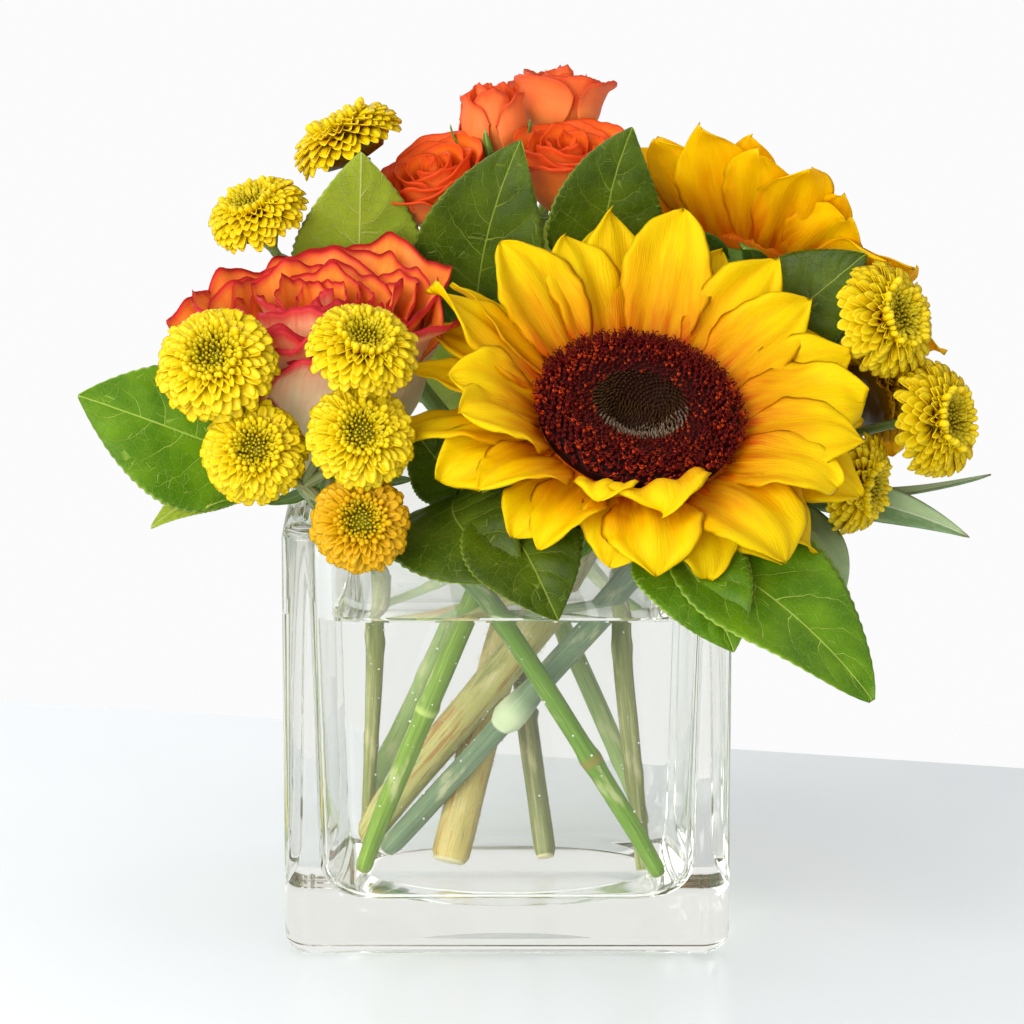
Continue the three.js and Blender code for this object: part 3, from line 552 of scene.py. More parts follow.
def pompon_material(name, tips, body, depth):
    """Button chrysanthemum: lemon floret tips, orange painted shade in the depths between florets, and a
    green heart whose quills darken to olive painted shade at their bases.
    """
    g = Graph(name)
    _, v, number = g.attribute("place")
    x, y, tone = g.attribute("spot")
    patch = g.noise(g.vector(x, y * 0.3, tone * 29.0), 0.9)
    along = v + (patch - 0.5) * 0.2
    # Painted shade: the colour darkens towards the base of each floret and quill, where it lies deep among
    # the others.
    colour = g.ramp(along, [(0.2, depth), (0.46, body), (0.74, tips), (1.0, tips)])
    green = g.ramp(along, [(0.3, srgb(66, 54, 0)), (0.8, srgb(160, 152, 4)), (1.0, srgb(206, 196, 20))])
    colour = g.mix(g.level(number, 0.06, 0.34, 0.95, 0.0), colour, green)
    rib = g.bump(g.noise(g.vector(x * 3.0, y * 0.3, tone)), 0.12, 0.5)
    return g.thin(colour, body, share=0.36, roughness=0.36, normal=rib, specular=0.4)


def floret_material(name, deep, body, spark):
    """Disc floret: dark, with a few bright tips."""
    g = Graph(name)
    _, v, number = g.attribute("place")
    colour = g.ramp(v, [(0.0, deep), (0.55, body), (1.0, body)])
    bright_tip = g.level(v, 0.6, 0.85) * g.level(number, 0.6, 1.0)
    return g.finish(g.principled(g.mix(bright_tip, colour, spark), 0.6, specular=0.15))


STRAW = srgb(222, 214, 168)


def stem_material(name, low, high, streak, change=0.5, bump=0.25, fine=1.4, knot=None):
    """Stem: one colour low in the water, another above, with lengthwise fibres and paler patches.

    knot = (start, end, colour) colours a joint at those millimetres along the stem.
    """
    g = Graph(name)
    _, v, number = g.attribute("place")
    x, y, _ = g.attribute("spot")
    fibre = g.noise(g.vector(x * fine, y * 0.035, number), detail=4.0, rough=0.6)
    patch = g.noise(g.vector(x, y * 0.3, number), 0.16, 4.0, 0.6)
    speck = g.noise(g.vector(x, y, number), 1.6)
    along = v + (patch - 0.5) * 0.3
    colour = g.mix(g.level(along, change - 0.14, change + 0.14), low, high)
    deep = tuple(0.4 * c for c in high[:3]) + (1.0,)
    colour = g.mix(g.level(fibre, 0.3, 0.46, 0.6, 0.0), colour, deep)
    colour = g.mix(g.level(fibre, 0.52, 0.64) * 0.8, colour, streak)
    colour = g.mix(g.level(patch, 0.52, 0.7) * 0.5, colour, STRAW)
    colour = g.mix(g.level(speck, 0.68, 0.78, 0.0, 0.35), colour, streak)
    colour = g.mix(g.level(v, 0.0, 0.004, 0.9, 0.0), colour, STRAW)
    if knot is not None:
        start, end, knot_colour = knot
        rising = g.level(y, start, start + 1.0)
        falling = g.level(y, lerp(start, end, 0.35), end, 0.92, 0.0)
        colour = g.mix(rising * falling, colour, knot_colour)
    normal = g.bump(fibre + speck * 0.3, bump, 0.8)
    return g.finish(g.principled(colour, 0.42, normal, specular=0.4))


# Side veins of a broad leaf: how many, and how far they sweep towards its tip
LATERALS = 6.5
LATERAL_SWEEP = 0.24


def leaf_material(name, face, dark, vein, share=0.24, gloss=0.42, raised=-1.0):
    """Broad leaf: midrib, side veins that sweep to the tip, a net between them and a pale edge, which is a
    painted highlight along its rim.
    """
    g = Graph(name)
    u, v, number = g.attribute("place")
    x, y, _ = g.attribute("spot")
    side = abs(u)
    here = g.vector(x, y, number)
    wander = g.noise(g.vector(x, y, number * 61.0), 0.11) - 0.5
    swept = v - side**1.25 * LATERAL_SWEEP + wander * 0.09
    phase = swept * LATERALS + (u > 0.0) * 0.5
    nearest = abs(g.math("FRACT", phase) - 0.5)
    lateral = g.level(nearest + side * 0.012, 0.008, 0.028, 1.0, 0.0) * g.level(side, 0.7, 0.95, 1.0, 0.0)
    midrib = g.level(abs(x), 0.14, 0.4, 1.0, 0.0)
    veins = g.math("MAXIMUM", lateral, midrib)
    drift = g.noise(here, 0.22, output=1)
    warped = g.add("VectorMath", dict(operation="MULTIPLY_ADD"), {0: drift, 1: (1.4, 1.4, 0.0), 2: here})
    net = g.level(g.cracks(warped, 0.34, 0.8), 0.004, 0.032, 1.0, 0.0)
    mesh = g.level(g.cracks(warped, 1.15), 0.02, 0.09, 1.0, 0.0)
    blotch = g.noise(here, 0.06, 3.0)
    grain = g.noise(here, 1.3, 3.0)
    colour = g.mix(g.level(blotch, 0.35, 0.65), dark, face)
    # Painted highlight: a pale band along the rounded rim of the leaf.
    edge_highlight = g.level(side, 0.955, 0.985)
    for line, strength in ((mesh, 0.09), (net, 0.3), (veins, 0.62), (edge_highlight, 0.7)):
        colour = g.mix(line * strength, colour, vein)
    relief = g.math("MAXIMUM", net * 0.6, veins)
    normal = g.bump(relief * raised + grain * 0.35, 0.32, 0.75)
    glow = g.mix(0.5, colour, srgb(160, 205, 10))
    return g.thin(colour, glow, share, gloss, normal, specular=0.25)


def lance_material(name, left, right, vein):
    """Narrow pale leaf: one half paler than the other, as painted light on the lit side of its fold and
    painted shade on the other, with a light midrib and a dry tip.
    """
    g = Graph(name)
    u, v, number = g.attribute("place")
    x, y, _ = g.attribute("spot")
    grain = g.noise(g.vector(x, y * 0.3, number), 0.9, 4.0, 0.6)
    # Painted light and shade: the half at negative u gets the first, shaded colour and the other half the
    # lit one.
    colour = g.mix(g.level(u, -0.06, 0.06), left, right)
    colour = g.mix(g.level(grain, 0.4, 0.75, 0.0, 0.3), colour, vein)
    rib = g.level(abs(x), 0.15, 0.45, 1.0, 0.0)
    colour = g.mix(rib * 0.8, colour, vein)
    colour = g.mix(g.level(v, 0.93, 1.0, 0.0, 0.7), colour, srgb(120, 86, 40))
    return g.thin(colour, colour, 0.22, 0.5, g.bump(grain + rib, 0.2, 0.6), specular=0.3)


CLEAR = (1.0, 1.0, 1.0, 1.0)


def glass_material(name, index, tint=CLEAR, roughness=0.0):
    """Clear glass or water that lets the lamps' light through to what it holds."""
    g = Graph(name)
    clear = g.add("BsdfGlass", None, {"Color": tint, "Roughness": roughness, "IOR": index})
    opened = g.add("BsdfTransparent", None, {"Color": tint})
    shadow = g.add("LightPath", output="Is Shadow Ray")
    return g.finish(g.add("MixShader", None, {0: shadow, 1: clear, 2: opened}))


def open_material(name):
    """Side of the water that touches the glass, where nothing bends the light twice."""
    g = Graph(name)
    return g.finish(g.add("BsdfTransparent", None, {"Color": CLEAR}))


def bubble_reflection_material(name):
    """Bubble of air under water, which mirrors the bright room: its near-white colour is a painted
    reflection of that room.
    """
    g = Graph(name)
    return g.finish(g.principled(srgb(236, 240, 236), 0.25))


# The first colour of each ray material is the deep orange root, partly its own colour and partly painted
# shade.
RAY = ray_petal_material(
    "sunflower_ray", srgb(200, 78, 0), srgb(238, 184, 0), srgb(242, 214, 0), srgb(238, 196, 0)
)
RAY_DEEP = ray_petal_material(
    "sunflower_ray_deep", srgb(210, 92, 0), srgb(238, 176, 0), srgb(244, 206, 0), srgb(244, 190, 0)
)
DISC_BASE = floret_material("disc_ground", srgb(26, 2, 2), srgb(40, 6, 4), srgb(60, 14, 6))
FLORET = floret_material("disc_floret", srgb(28, 1, 1), srgb(84, 7, 4), srgb(176, 52, 6))
BRISTLE = floret_material("disc_bristle", srgb(20, 10, 4), srgb(58, 36, 14), srgb(120, 102, 84))
ROSE_INSIDE = rose_petal_material(
    "bicolour_inside", srgb(212, 40, 40), srgb(255, 142, 56), srgb(255, 214, 80), 0.028, 0.66
)
ROSE_OUTSIDE = rose_petal_material(
    "bicolour_outside", srgb(206, 44, 54), srgb(255, 150, 104), srgb(255, 244, 196), 0.06, 0.92
)
SPRAY_INSIDE = rose_petal_material(
    "spray_inside", srgb(232, 84, 22), srgb(246, 118, 32), srgb(246, 110, 18), 0.06, 0.4
)
SPRAY_OUTSIDE = rose_petal_material(
    "spray_outside", srgb(224, 76, 26), srgb(246, 124, 50), srgb(250, 160, 84), 0.07, 0.3
)
CORAL_INSIDE = rose_petal_material(
    "spray_coral_inside", srgb(228, 84, 30), srgb(246, 122, 40), srgb(244, 110, 24), 0.06, 0.4
)
CORAL_OUTSIDE = rose_petal_material(
    "spray_coral_outside", srgb(222, 84, 44), srgb(244, 128, 66), srgb(250, 172, 84), 0.05, 0.42
)
# The last colour of a pompon material is painted shade in the depths between its florets.
POMPON = pompon_material("pompon_floret", srgb(246, 224, 16), srgb(234, 184, 0), srgb(160, 84, 0))
# Darker copy of the pompon colours: painted shade for pompons that lie in shade.
POMPON_SHADED = pompon_material(
    "pompon_floret_shaded", srgb(236, 186, 4), srgb(206, 130, 0), srgb(110, 50, 0)
)
SUN_STEM = stem_material(
    "sunflower_stem", srgb(180, 176, 106), srgb(128, 150, 60), srgb(164, 112, 50), 0.7, 0.45, 0.55
)
SUN_STEM_BACK = stem_material(
    "sunflower_stem_back", srgb(194, 178, 108), srgb(128, 150, 60), srgb(168, 104, 40), 0.6, 0.45, 0.55
)
BRACT = leaf_material("bract", srgb(112, 150, 52), srgb(74, 114, 30), srgb(160, 188, 104), 0.2, 0.55)
ROSE_STEM_GREEN = stem_material(
    "rose_stem", srgb(104, 142, 44), srgb(92, 122, 60), srgb(134, 168, 74), 0.62, 0.12,
    knot=(40, 44.5, srgb(142, 130, 62)),
)
SPRAY_STEM_GREEN = stem_material(
    "spray_stem", srgb(112, 144, 44), srgb(100, 136, 48), srgb(148, 176, 82), 0.6, 0.12,
    knot=(53.5, 57, srgb(172, 192, 104)),
)
POMPON_STEM_GREEN = stem_material(
    "pompon_stem", srgb(140, 146, 88), srgb(104, 128, 62), srgb(178, 180, 128), bump=0.5, fine=0.9
)
PALE_STEM_GREEN = stem_material(
    "pale_stem", srgb(154, 178, 112), srgb(112, 142, 70), srgb(134, 162, 92), bump=0.2
)
WOODY_STEM = stem_material(
    "woody_stem", srgb(132, 138, 90), srgb(88, 104, 44), srgb(180, 172, 132), bump=0.6, fine=0.9
)
SAGE_STEM = stem_material(
    "sage_stem", srgb(110, 132, 98), srgb(106, 130, 98), srgb(138, 160, 124), bump=0.14,
    knot=(56.6, 72, srgb(208, 222, 178)),
)
SALAL = leaf_material("salal_leaf", srgb(98, 138, 8), srgb(66, 108, 4), srgb(176, 200, 84))
# Darker copy of the salal colours: painted shade for leaves that lie in shadow.
SALAL_SHADED = leaf_material("salal_leaf_shaded", srgb(74, 94, 4), srgb(48, 68, 2), srgb(146, 162, 60))
SALAL_UNDER = leaf_material(
    "salal_underside", srgb(160, 178, 46), srgb(142, 162, 36), srgb(210, 216, 128), 0.36, 0.55, raised=1.0
)
# First colour: the shaded half of each sage leaf; second: the lit half. Painted light and shade.
SAGE_LEAF = lance_material("sage_leaf", srgb(120, 152, 100), srgb(166, 190, 138), srgb(206, 216, 180))
HAIR = stem_material("stem_hair", srgb(214, 214, 178), srgb(196, 208, 160), srgb(220, 220, 190), bump=0.0)
# Relative indexes of refraction: glass against air, glass against water, water against air
VASE_GLASS = glass_material("vase_glass", 1.5, (0.94, 0.942, 0.925, 1.0))
WET_GLASS = glass_material("vase_glass_wet", 1.128, (0.99, 0.995, 0.992, 1.0))
DENT_GLASS = glass_material("vase_glass_dent", 1.128, roughness=0.22)
WATER_TOP = glass_material("water_top", 1.33)
WATER_SIDE = open_material("water_side")
BUBBLE_REFLECTION = bubble_reflection_material("water_bubble_reflection")

# ------------------------------------------------------------ blades


def ray_grid(
    azimuth, radius, height, length, lift, bend, yaw, roll, half_width, draw,
    rows=34, columns=17, wild=1.0,
):
    """Grid of points of a sunflower ray or a bract, on the same spine as its solid.

    It starts at an azimuth, radius and height, rises by lift and bends on its way by bend. Yaw and roll
    turn it sideways and about itself, and wild scales its waves, folds and ribs.
    """
    t = np.linspace(0, 1, rows)
    a = azimuth + yaw * t
    swing = (draw() - 0.5) * 0.3 * wild
    a = a + swing * np.maximum(0, t - 0.35) ** 2
    rise = lift + bend * t * t
    along = np.stack([np.cos(a) * np.cos(rise), np.sin(a) * np.cos(rise), np.sin(rise)], -1)
    side = np.stack([-np.sin(a), np.cos(a), np.zeros(rows)], -1)
    up = np.cross(along, side)
    twist = roll + (draw() - 0.5) * 0.9 * wild * t**1.6
    across = side * np.cos(twist)[:, None] + up * np.sin(twist)[:, None]
    up = np.cross(along, across)
    spine = np.cumsum(along, axis=0) * (length / (rows - 1))
    spine += np.array([radius * math.cos(azimuth), radius * math.sin(azimuth), height]) - spine[0]
    s = np.linspace(-1, 1, columns)[None]
    tt = t[:, None]
    peak = 0.44 + 0.14 * draw()
    before = np.sin(0.5 * math.pi * (0.24 + 0.76 * np.clip(tt / peak, 0, 1))) ** 0.85
    after = np.cos(0.5 * math.pi * np.clip((tt - peak) / (1 - peak), 0, 1)) ** (0.66 + 0.3 * draw())
    width = half_width * np.maximum(np.where(tt < peak, before, after), 0.02)
    phase = draw() * 6.28
    scale = half_width / 10 * wild
    wave = (0.9 + 1.5 * draw()) * scale * np.abs(s) ** 2
    wave = wave * np.sin(phase + tt * (4 + 4 * draw()) + np.sign(s) * 1.5)
    frill = 0.3 * scale * np.abs(s) ** 3 * np.sin(phase * 7 + tt * 24 + s * 2)
    wave = (wave + frill) * smooth(tt, 0.12, 0.6)
    fold = (-0.1 + 0.34 * draw()) * np.abs(s) ** 1.5 * width
    rib_height = (0.4 + 0.45 * draw()) * scale
    ribs = rib_height * np.cos(s * math.pi * 2.4 + 0.5 * np.sin(phase)) * np.sin(math.pi * tt) ** 0.6
    keel = -0.7 * scale * np.exp(-((s * 5) ** 2)) * smooth(tt, 0.5, 0.95)
    lean = (draw() - 0.5) * 3.0 * scale * s * tt
    nod = -(0.3 + 1.2 * draw()) * scale * smooth(tt, 0.8, 1.0)
    z = fold + wave + ribs + lean + nod + keel
    edge = 1 + (0.04 * np.sin(phase * 3 + tt * 15) + 0.02 * np.sin(phase * 5 + tt * 39)) * np.abs(s) ** 3
    return blade(spine, across, up, width * s * edge, z), s, tt


def round_face(values, azimuth):
    """Value at an azimuth, between those for the upper, side and lower parts of a face."""
    s = math.sin(azimuth)
    if s > 0:
        return lerp(values["side"], values["upper"], s)
    return lerp(values["side"], values["lower"], -s)


def leaf_grid(leaf, phase, rows, columns, profile, fold, relief):
    """Grid of points of a leaf from base to tip, on the same spine as its solid.

    fold lifts its halves, relief puckers it between its side veins, and phase shifts its edge's waves.
    """
    base, tip, bow, face = (np.asarray(leaf[key], float) for key in ("base", "tip", "bow", "face"))
    width = leaf["width"]
    t = np.linspace(0, 1, rows)[:, None]
    spine, along = arch(base, (base + tip) / 2 + 2 * bow, tip, t)
    across = unit(np.cross(np.broadcast_to(face, along.shape), along))
    up = np.cross(along, across)
    s = np.linspace(-1, 1, columns)[None]
    w = (width / 2) * profile(t)
    swept = LATERALS * (t - LATERAL_SWEEP * np.abs(s) ** 1.25) + np.where(s > 0, 0.5, 0.0)
    puckered = relief * np.abs(np.sin(math.pi * (swept - 0.5))) ** 0.7
    puckered = puckered * np.sin(math.pi * np.abs(s)) ** 0.6 * np.minimum(1, 5 * (1 - t))
    wave = 0.03 * width * s**2 * np.sin(phase + 9 * t + 1.5 * np.sign(s))
    z = fold * w * np.abs(s) ** 1.35 + puckered + wave
    return blade(spine, across, up, w * s, z), s, t, w


def salal_profile(t):
    """Width of a broad leaf with small teeth, from its base at 0 to its tip at 1."""
    teeth = 1 + 0.012 * np.sign(np.sin(t * math.pi * 46)) * np.abs(np.sin(t * math.pi * 46)) ** 0.5
    return np.maximum(np.sin(math.pi * np.clip(t, 0, 1) ** 0.74) ** 0.85 * teeth, 0.012)


def lance_profile(t):
    """Width of a narrow leaf with a smooth edge."""
    return np.maximum(np.sin(math.pi * np.clip(t, 0, 1) ** 0.8) ** 0.8, 0.02)


# Material slots of a sprig's leaves. A narrow leaf has the same one on both sides.
# The third slot holds a darker copy of the leaf colours, painted shade for leaves in shadow.
LEAF_SLOT, UNDER_SLOT, SHADED_SLOT = 1, 2, 3


def add_leaf(pile, leaf, phase, number, broad):
    """Adds a leaf and its stalk, which runs on into the midrib."""
    if broad:
        grid, s, t, w = leaf_grid(leaf, phase, 121, 25, salal_profile, 0.16, 0.55)
    else:
        grid, s, t, w = leaf_grid(leaf, phase, 44, 11, lance_profile, 0.2, 0.0)
    under = UNDER_SLOT if broad else LEAF_SLOT
    # A leaf marked dark lies in shadow and gets the darker copy of the leaf colours: painted shade.
    face = under if leaf.get("pale") else SHADED_SLOT if leaf.get("dark") else LEAF_SLOT
    add_sheet(pile, grid, s, t, number, 0.5, face, None, w, under)
    base = np.asarray(leaf["base"], float)
    midrib = grid[:, grid.shape[1] // 2]
    stalk = np.stack([base - (midrib[2] - base) * 1.2, base, *midrib[4:30:4]])
    lowered = stalk - unit(leaf["face"]) * 0.25
    thick = 0.95 if broad else 0.5
    add_tube(pile, lowered, [thick, thick * 0.3], 8, number, LEAF_SLOT)


# ------------------------------------------------------------ sunflowers


# Where the rays of the outermost layer leave the plate, and how much further in, lower and flatter
# the next layer does
RAY_RADIUS = 27.8
RAY_HEIGHT = -0.95
LAYER_IN = 0.6
LAYER_DOWN = 0.9
LAYER_TILT = 18


def add_rays(head, rows, name, material):
    """Ray petals of a sunflower and the plate that they grow from."""
    where = Frame(head["centre"], head["facing"])
    shape = seeded(head["seed"] + 100)
    pile = Pile()
    for degrees, layer, length, half_width, more_lift, more_bend in rows:
        azimuth = math.radians(degrees)
        flatter = min(layer, 1.4) * LAYER_TILT
        lift = math.radians(round_face(head["lift"], azimuth) - flatter + more_lift)
        bend = math.radians(round_face(head["bend"], azimuth) + more_bend)
        yaw = math.radians((shape() - 0.5) * 10)
        roll = math.radians(4 + 10 * shape())
        grid, s, t = ray_grid(
            azimuth, RAY_RADIUS - layer * LAYER_IN, RAY_HEIGHT - layer * LAYER_DOWN, length,
            lift, bend, yaw, roll, half_width, shape,
        )
        add_sheet(pile, grid, s, t, shape(), 0.45, where=where)
    low = -GAP - PLATE_DEPTH
    profile = [
        (0.5, low), (PLATE_RADIUS - 1, low), (PLATE_RADIUS, -GAP - 0.9), (DISC_RADIUS, -GAP), (0.5, -GAP)
    ]
    add_turned(pile, profile, 48, where, rise=0)
    return pile.make(name, [material])


def add_turned(pile, profile, sides, where, slot=0, rise=1, number=0.5):
    """Adds a body turned about the frame's axis from (radius, height) pairs, low end first.

    Its place along goes from 0 to rise, which picks its colours.
    """
    profile = np.asarray(profile, float)
    angle = np.arange(sides) * 2 * math.pi / sides
    rings = ring(angle)[None] * profile[:, 0][:, None, None] + UP * profile[:, 1][:, None, None]
    v = np.linspace(0, rise, len(profile))[:, None]
    place = np.stack(np.broadcast_arrays(np.cos(angle)[None], v, number), -1)
    faces = closed_faces(len(profile), sides)
    pile.add(where.place(rings.reshape(-1, 3)), faces, place, rings, slot)


def disc_height(q):
    """Height of the disc at a share q of its radius: a bulging ring round a dip."""
    crown = 2 + 5.5 * np.sin(math.pi * np.clip(1.15 * (1 - q) + 0.12, 0, 1)) ** 0.8
    return crown - 2.2 * np.maximum(0, 0.45 - q) / 0.45


def open_floret():
    """Dark tube with a flared mouth, and its two curled stigmas."""
    pile = Pile()
    path = np.array([[0, 0, z] for z in (-1.2, 0.4, 1.3, 1.9, 2.2)], float)
    add_tube(pile, path, [0.42, 0.4, 0.46, 0.66, 0.8], 6)
    for sign in (-1, 1):
        turn = np.linspace(0, 1, 8)
        curl = np.stack(
            [
                sign * (0.12 + 0.5 * (1 - np.cos(turn * 3.6))),
                0.3 * turn**2,
                1.8 + 1.5 * turn**0.8 + 0.35 * np.sin(turn * 4.0),
            ],
            -1,
        )
        add_tube(pile, curl, [0.17, 0.16, 0.13], 4)
    return template_of(pile)


def bud_floret(height, radius):
    """Closed floret, widest below its middle."""
    pile = Pile()
    path = np.array([[0, 0, z] for z in (-0.8, height * 0.35, height * 0.75, height)], float)
    add_tube(pile, path, [radius, radius * 1.1, radius * 0.7, radius * 0.15], 5)
    return template_of(pile)


OPEN_FLORETS = 1150
BUD_FLORETS = 620
# Share of the disc's radius that the closed florets fill
HEART = 0.47
# How deep the florets' feet stand below the disc's surface
FOOT_DEPTH = 1.1


def add_disc(head, name):
    """Dark disc: closed florets in its heart, a ring of open ones round them."""
    where = Frame(head["centre"], head["facing"])
    random = np.random.default_rng(head["seed"])
    pile = Pile()
    ground = [(0.5, 0.0), (DISC_RADIUS - 0.6, 0.0)]
    for q in np.linspace(1, 0, 26):
        ground.append((DISC_RADIUS * max(q, 0.02), disc_height(q) - FOOT_DEPTH))
    add_turned(pile, ground, 72, where)

    q, radial = golden(OPEN_FLORETS)
    step = 0.01
    slope = (disc_height(q + step) - disc_height(q - step)) / (2 * step * DISC_RADIUS)
    slope = np.where(q > 0.93, np.minimum(slope, -0.9), slope)
    origins = radial * (DISC_RADIUS * q)[:, None] + UP * (disc_height(q) - FOOT_DEPTH)[:, None]
    z = unit(UP - radial * slope[:, None] * 0.85 + 0.16 * random.normal(size=(OPEN_FLORETS, 3)))
    x = unit(np.cross(z, radial) + 0.6 * random.normal(size=(OPEN_FLORETS, 3)))
    axes = axes_of(z, x - z * np.sum(x * z, -1, keepdims=True))
    numbers = random.random(OPEN_FLORETS)
    sizes = 0.62 + 0.42 * smooth(q, 0.5, 0.95) + 0.1 * random.normal(size=OPEN_FLORETS)
    sizes = np.clip(sizes, 0.5, 1.25)
    out = q > HEART
    scatter(pile, open_floret(), origins[out], axes[out], sizes[out], numbers[out], 1, where)

    q, radial = golden(BUD_FLORETS, 1.0)
    q = 0.5 * q
    origins = radial * (DISC_RADIUS * q)[:, None] + UP * (disc_height(q) - 1.0)[:, None]
    leaning = 0.75 * smooth(q, 0.1, 0.5)[:, None]
    z = unit(UP - radial * leaning + 0.12 * random.normal(size=(BUD_FLORETS, 3)))
    sizes = 0.8 + 0.3 * random.random(BUD_FLORETS)
    paler = smooth(-origins[:, 1] / DISC_RADIUS, -0.1, 0.16) * (0.7 + 0.3 * random.random(BUD_FLORETS))
    axes = axes_of(z, np.cross(z, radial + 0.01))
    scatter(pile, bud_floret(2.0, 0.36), origins, axes, sizes, paler, 2, where)
    return pile.make(name, [DISC_BASE, FLORET, BRISTLE])


def hair():
    """Fine three-sided spike, one unit long."""
    pile = Pile()
    add_tube(pile, [(0, 0, 0), (0, 0, 0.5), (0, 0, 1)], [0.09, 0.06, 0.02], 3)
    return template_of(pile)


STEM_HAIRS = 2200
HAIR_LENGTH = 1.25


def add_hairs(pile, points, thick, random, slot):
    """Short stiff hairs all round a stem."""
    along, side, rise = carried(points)
    chosen = random.integers(2, len(points) - 2, STEM_HAIRS)
    angle = random.random(STEM_HAIRS) * 2 * math.pi
    out = side[chosen] * np.cos(angle)[:, None] + rise[chosen] * np.sin(angle)[:, None]
    slide = (random.random(STEM_HAIRS) - 0.5)[:, None] * (points[chosen + 1] - points[chosen])
    origins = points[chosen] + slide + out * (thick - 0.1)
    z = unit(out + 0.35 * random.normal(size=(STEM_HAIRS, 3)))
    axes = axes_of(z, np.cross(z, along[chosen]))
    sizes = HAIR_LENGTH * (0.5 + 0.5 * random.random(STEM_HAIRS))
    scatter(pile, hair(), origins, axes, sizes, random.random(STEM_HAIRS), slot)


BRACT_LAYERS = 3
BRACTS_IN_LAYER = 14


def add_calyx(head, name, path, radii, stem):
    """Stem, green cup and pointed bracts of a sunflower."""
    where = Frame(head["centre"], head["facing"])
    shape = seeded(head["seed"] + 7)
    pile = Pile()
    neck = where.place([[0, 0, -CALYX_DEPTH - 10]])[0]
    seat = where.place([[0, 0, -CALYX_DEPTH + 4]])[0]
    points = catmull([*path, neck, seat], 150)
    add_tube(pile, points, radii, 24, bumps=knotty([], ribs=0.035, rib_count=9))
    add_hairs(pile, points, radii[1], np.random.default_rng(head["seed"] + 9), 2)
    top = -2 * GAP - PLATE_DEPTH
    cup = [
        (4.6, -CALYX_DEPTH - 3), (6.5, -CALYX_DEPTH), (12, top - 13), (19, top - 8.5), (24.5, top - 4.5),
        (27, top - 1.2), (26.5, top),
    ]
    add_turned(pile, cup, 48, where, slot=1)
    for layer in range(BRACT_LAYERS):
        for i in range(BRACTS_IN_LAYER):
            azimuth = 2 * math.pi * (i + 0.5 + layer / 3) / BRACTS_IN_LAYER
            lowered = max(0.0, -math.sin(azimuth))
            rise = math.radians(round_face(head["lift"], azimuth) - 30 - 14 * layer)
            length = lerp(27, 19, lowered) * (0.85 + 0.3 * shape())
            bend = math.radians(-20 + 50 * (shape() - 0.5))
            yaw = 0.1 * (shape() - 0.5)
            grid, s, t = ray_grid(
                azimuth, 22.5 - 2.5 * layer, top - 3.5 - 2.2 * layer, length, rise,
                bend, yaw, roll=0.05, half_width=4.6, draw=shape, rows=18, columns=9, wild=0.3,
            )
            add_sheet(pile, grid, s, t, shape(), 0.6, 1, where)
    return pile.make(name, [stem, BRACT, HAIR])


# ------------------------------------------------------------ roses


def rose_grid(rose, k, draw, rows=30, columns=49):
    """Grid of points of petal number k of a rose, from the heart outwards."""
    q = k / (rose["petals"] - 1)
    turn = k * GOLDEN_ANGLE + (draw() - 0.5) * 0.3
    half_angle = math.radians(lerp(100, 60, math.sqrt(q)))
    root = lerp(1.5, 0.24 * rose["belly"], q)
    belly = lerp(0.12, 1, q**0.7) * rose["belly"]
    mouth = lerp(0.08, 1, q**0.9) * rose["mouth"]
    height = lerp(rose["inner"], rose["outer"], q) * (0.94 + 0.1 * draw())
    v = np.linspace(0, 1, rows)[:, None]
    s = np.linspace(-1, 1, columns)[None]
    rise = np.sin(math.pi / 2 * np.clip(v / 0.55, 0, 1))
    opening = smooth(v, 0.5, 1)
    size = rose["belly"]
    radius = lerp(lerp(root, belly, rise), mouth, opening) + 0.05 * size * s * s * v * q
    spread = 0.45 + 0.55 * np.sin(math.pi / 2 * np.clip(v * 1.5, 0, 1))
    phase = draw() * 6.28
    lively = 0.35 + 0.65 * q
    sway = 0.05 * lively * np.sin(phase + v * 5) * smooth(v, 0.5, 1)
    angle = turn + s * half_angle * spread + sway
    point = 0.03 * np.exp(-(((s - 0.3 * math.sin(phase)) / 0.16) ** 2))
    corners = rose["crown"] * s * s + 0.13 * smooth(np.abs(s), 0.72, 1.0) ** 2
    top = v - corners * v * v - 0.05 * q * opening + point * smooth(v, 0.8, 1.0)
    ruffle = rose["ruffle"]
    tame = 1 - 0.9 * (1 - ruffle) * smooth(np.abs(s), 0.45, 0.95)
    lip = smooth(v, 0.78, 1.0) ** 1.5 * size * lively * tame
    curls = 0.07 * np.sin(phase + s * 3.3) + 0.05 * np.sin(phase * 3 + s * 8) + 0.02 * np.sin(s * 19)
    radius = radius + lip * (0.13 + ruffle * curls)
    waves = 0.075 * np.sin(phase * 2 + s * 4.6) + 0.045 * np.sin(phase + s * 11)
    waves = waves + 0.02 * np.sin(phase * 5 + s * 27)
    radius = radius + 0.018 * size * lively * np.sin(phase * 2 + s * 7) * v**2
    z = height * top - lip * (0.05 + ruffle * waves)
    grid = np.stack([radius * np.cos(angle), radius * np.sin(angle), z * np.ones_like(angle)], -1)
    return grid, s, v


def add_rose(rose, node, inside, outside):
    """Petals of a rose round a small heart, each with a material inside and another outside."""
    where = Frame(rose["foot"], rose["facing"])
    draw = seeded(rose["seed"])
    pile = Pile()
    size = rose["belly"]
    heart = [(0.2, 0.0), (0.3, 0.05), (0.34, 0.2), (0.14, 0.6)]
    add_turned(pile, [(radius * size, height * size) for radius, height in heart], 24, where)
    for k in range(rose["petals"]):
        grid, s, v = rose_grid(rose, k, draw)
        add_sheet(pile, grid, s, v, draw(), 0.5, 0, where, None, 1)
    return pile.make(node, [inside, outside])


SEPALS = 5


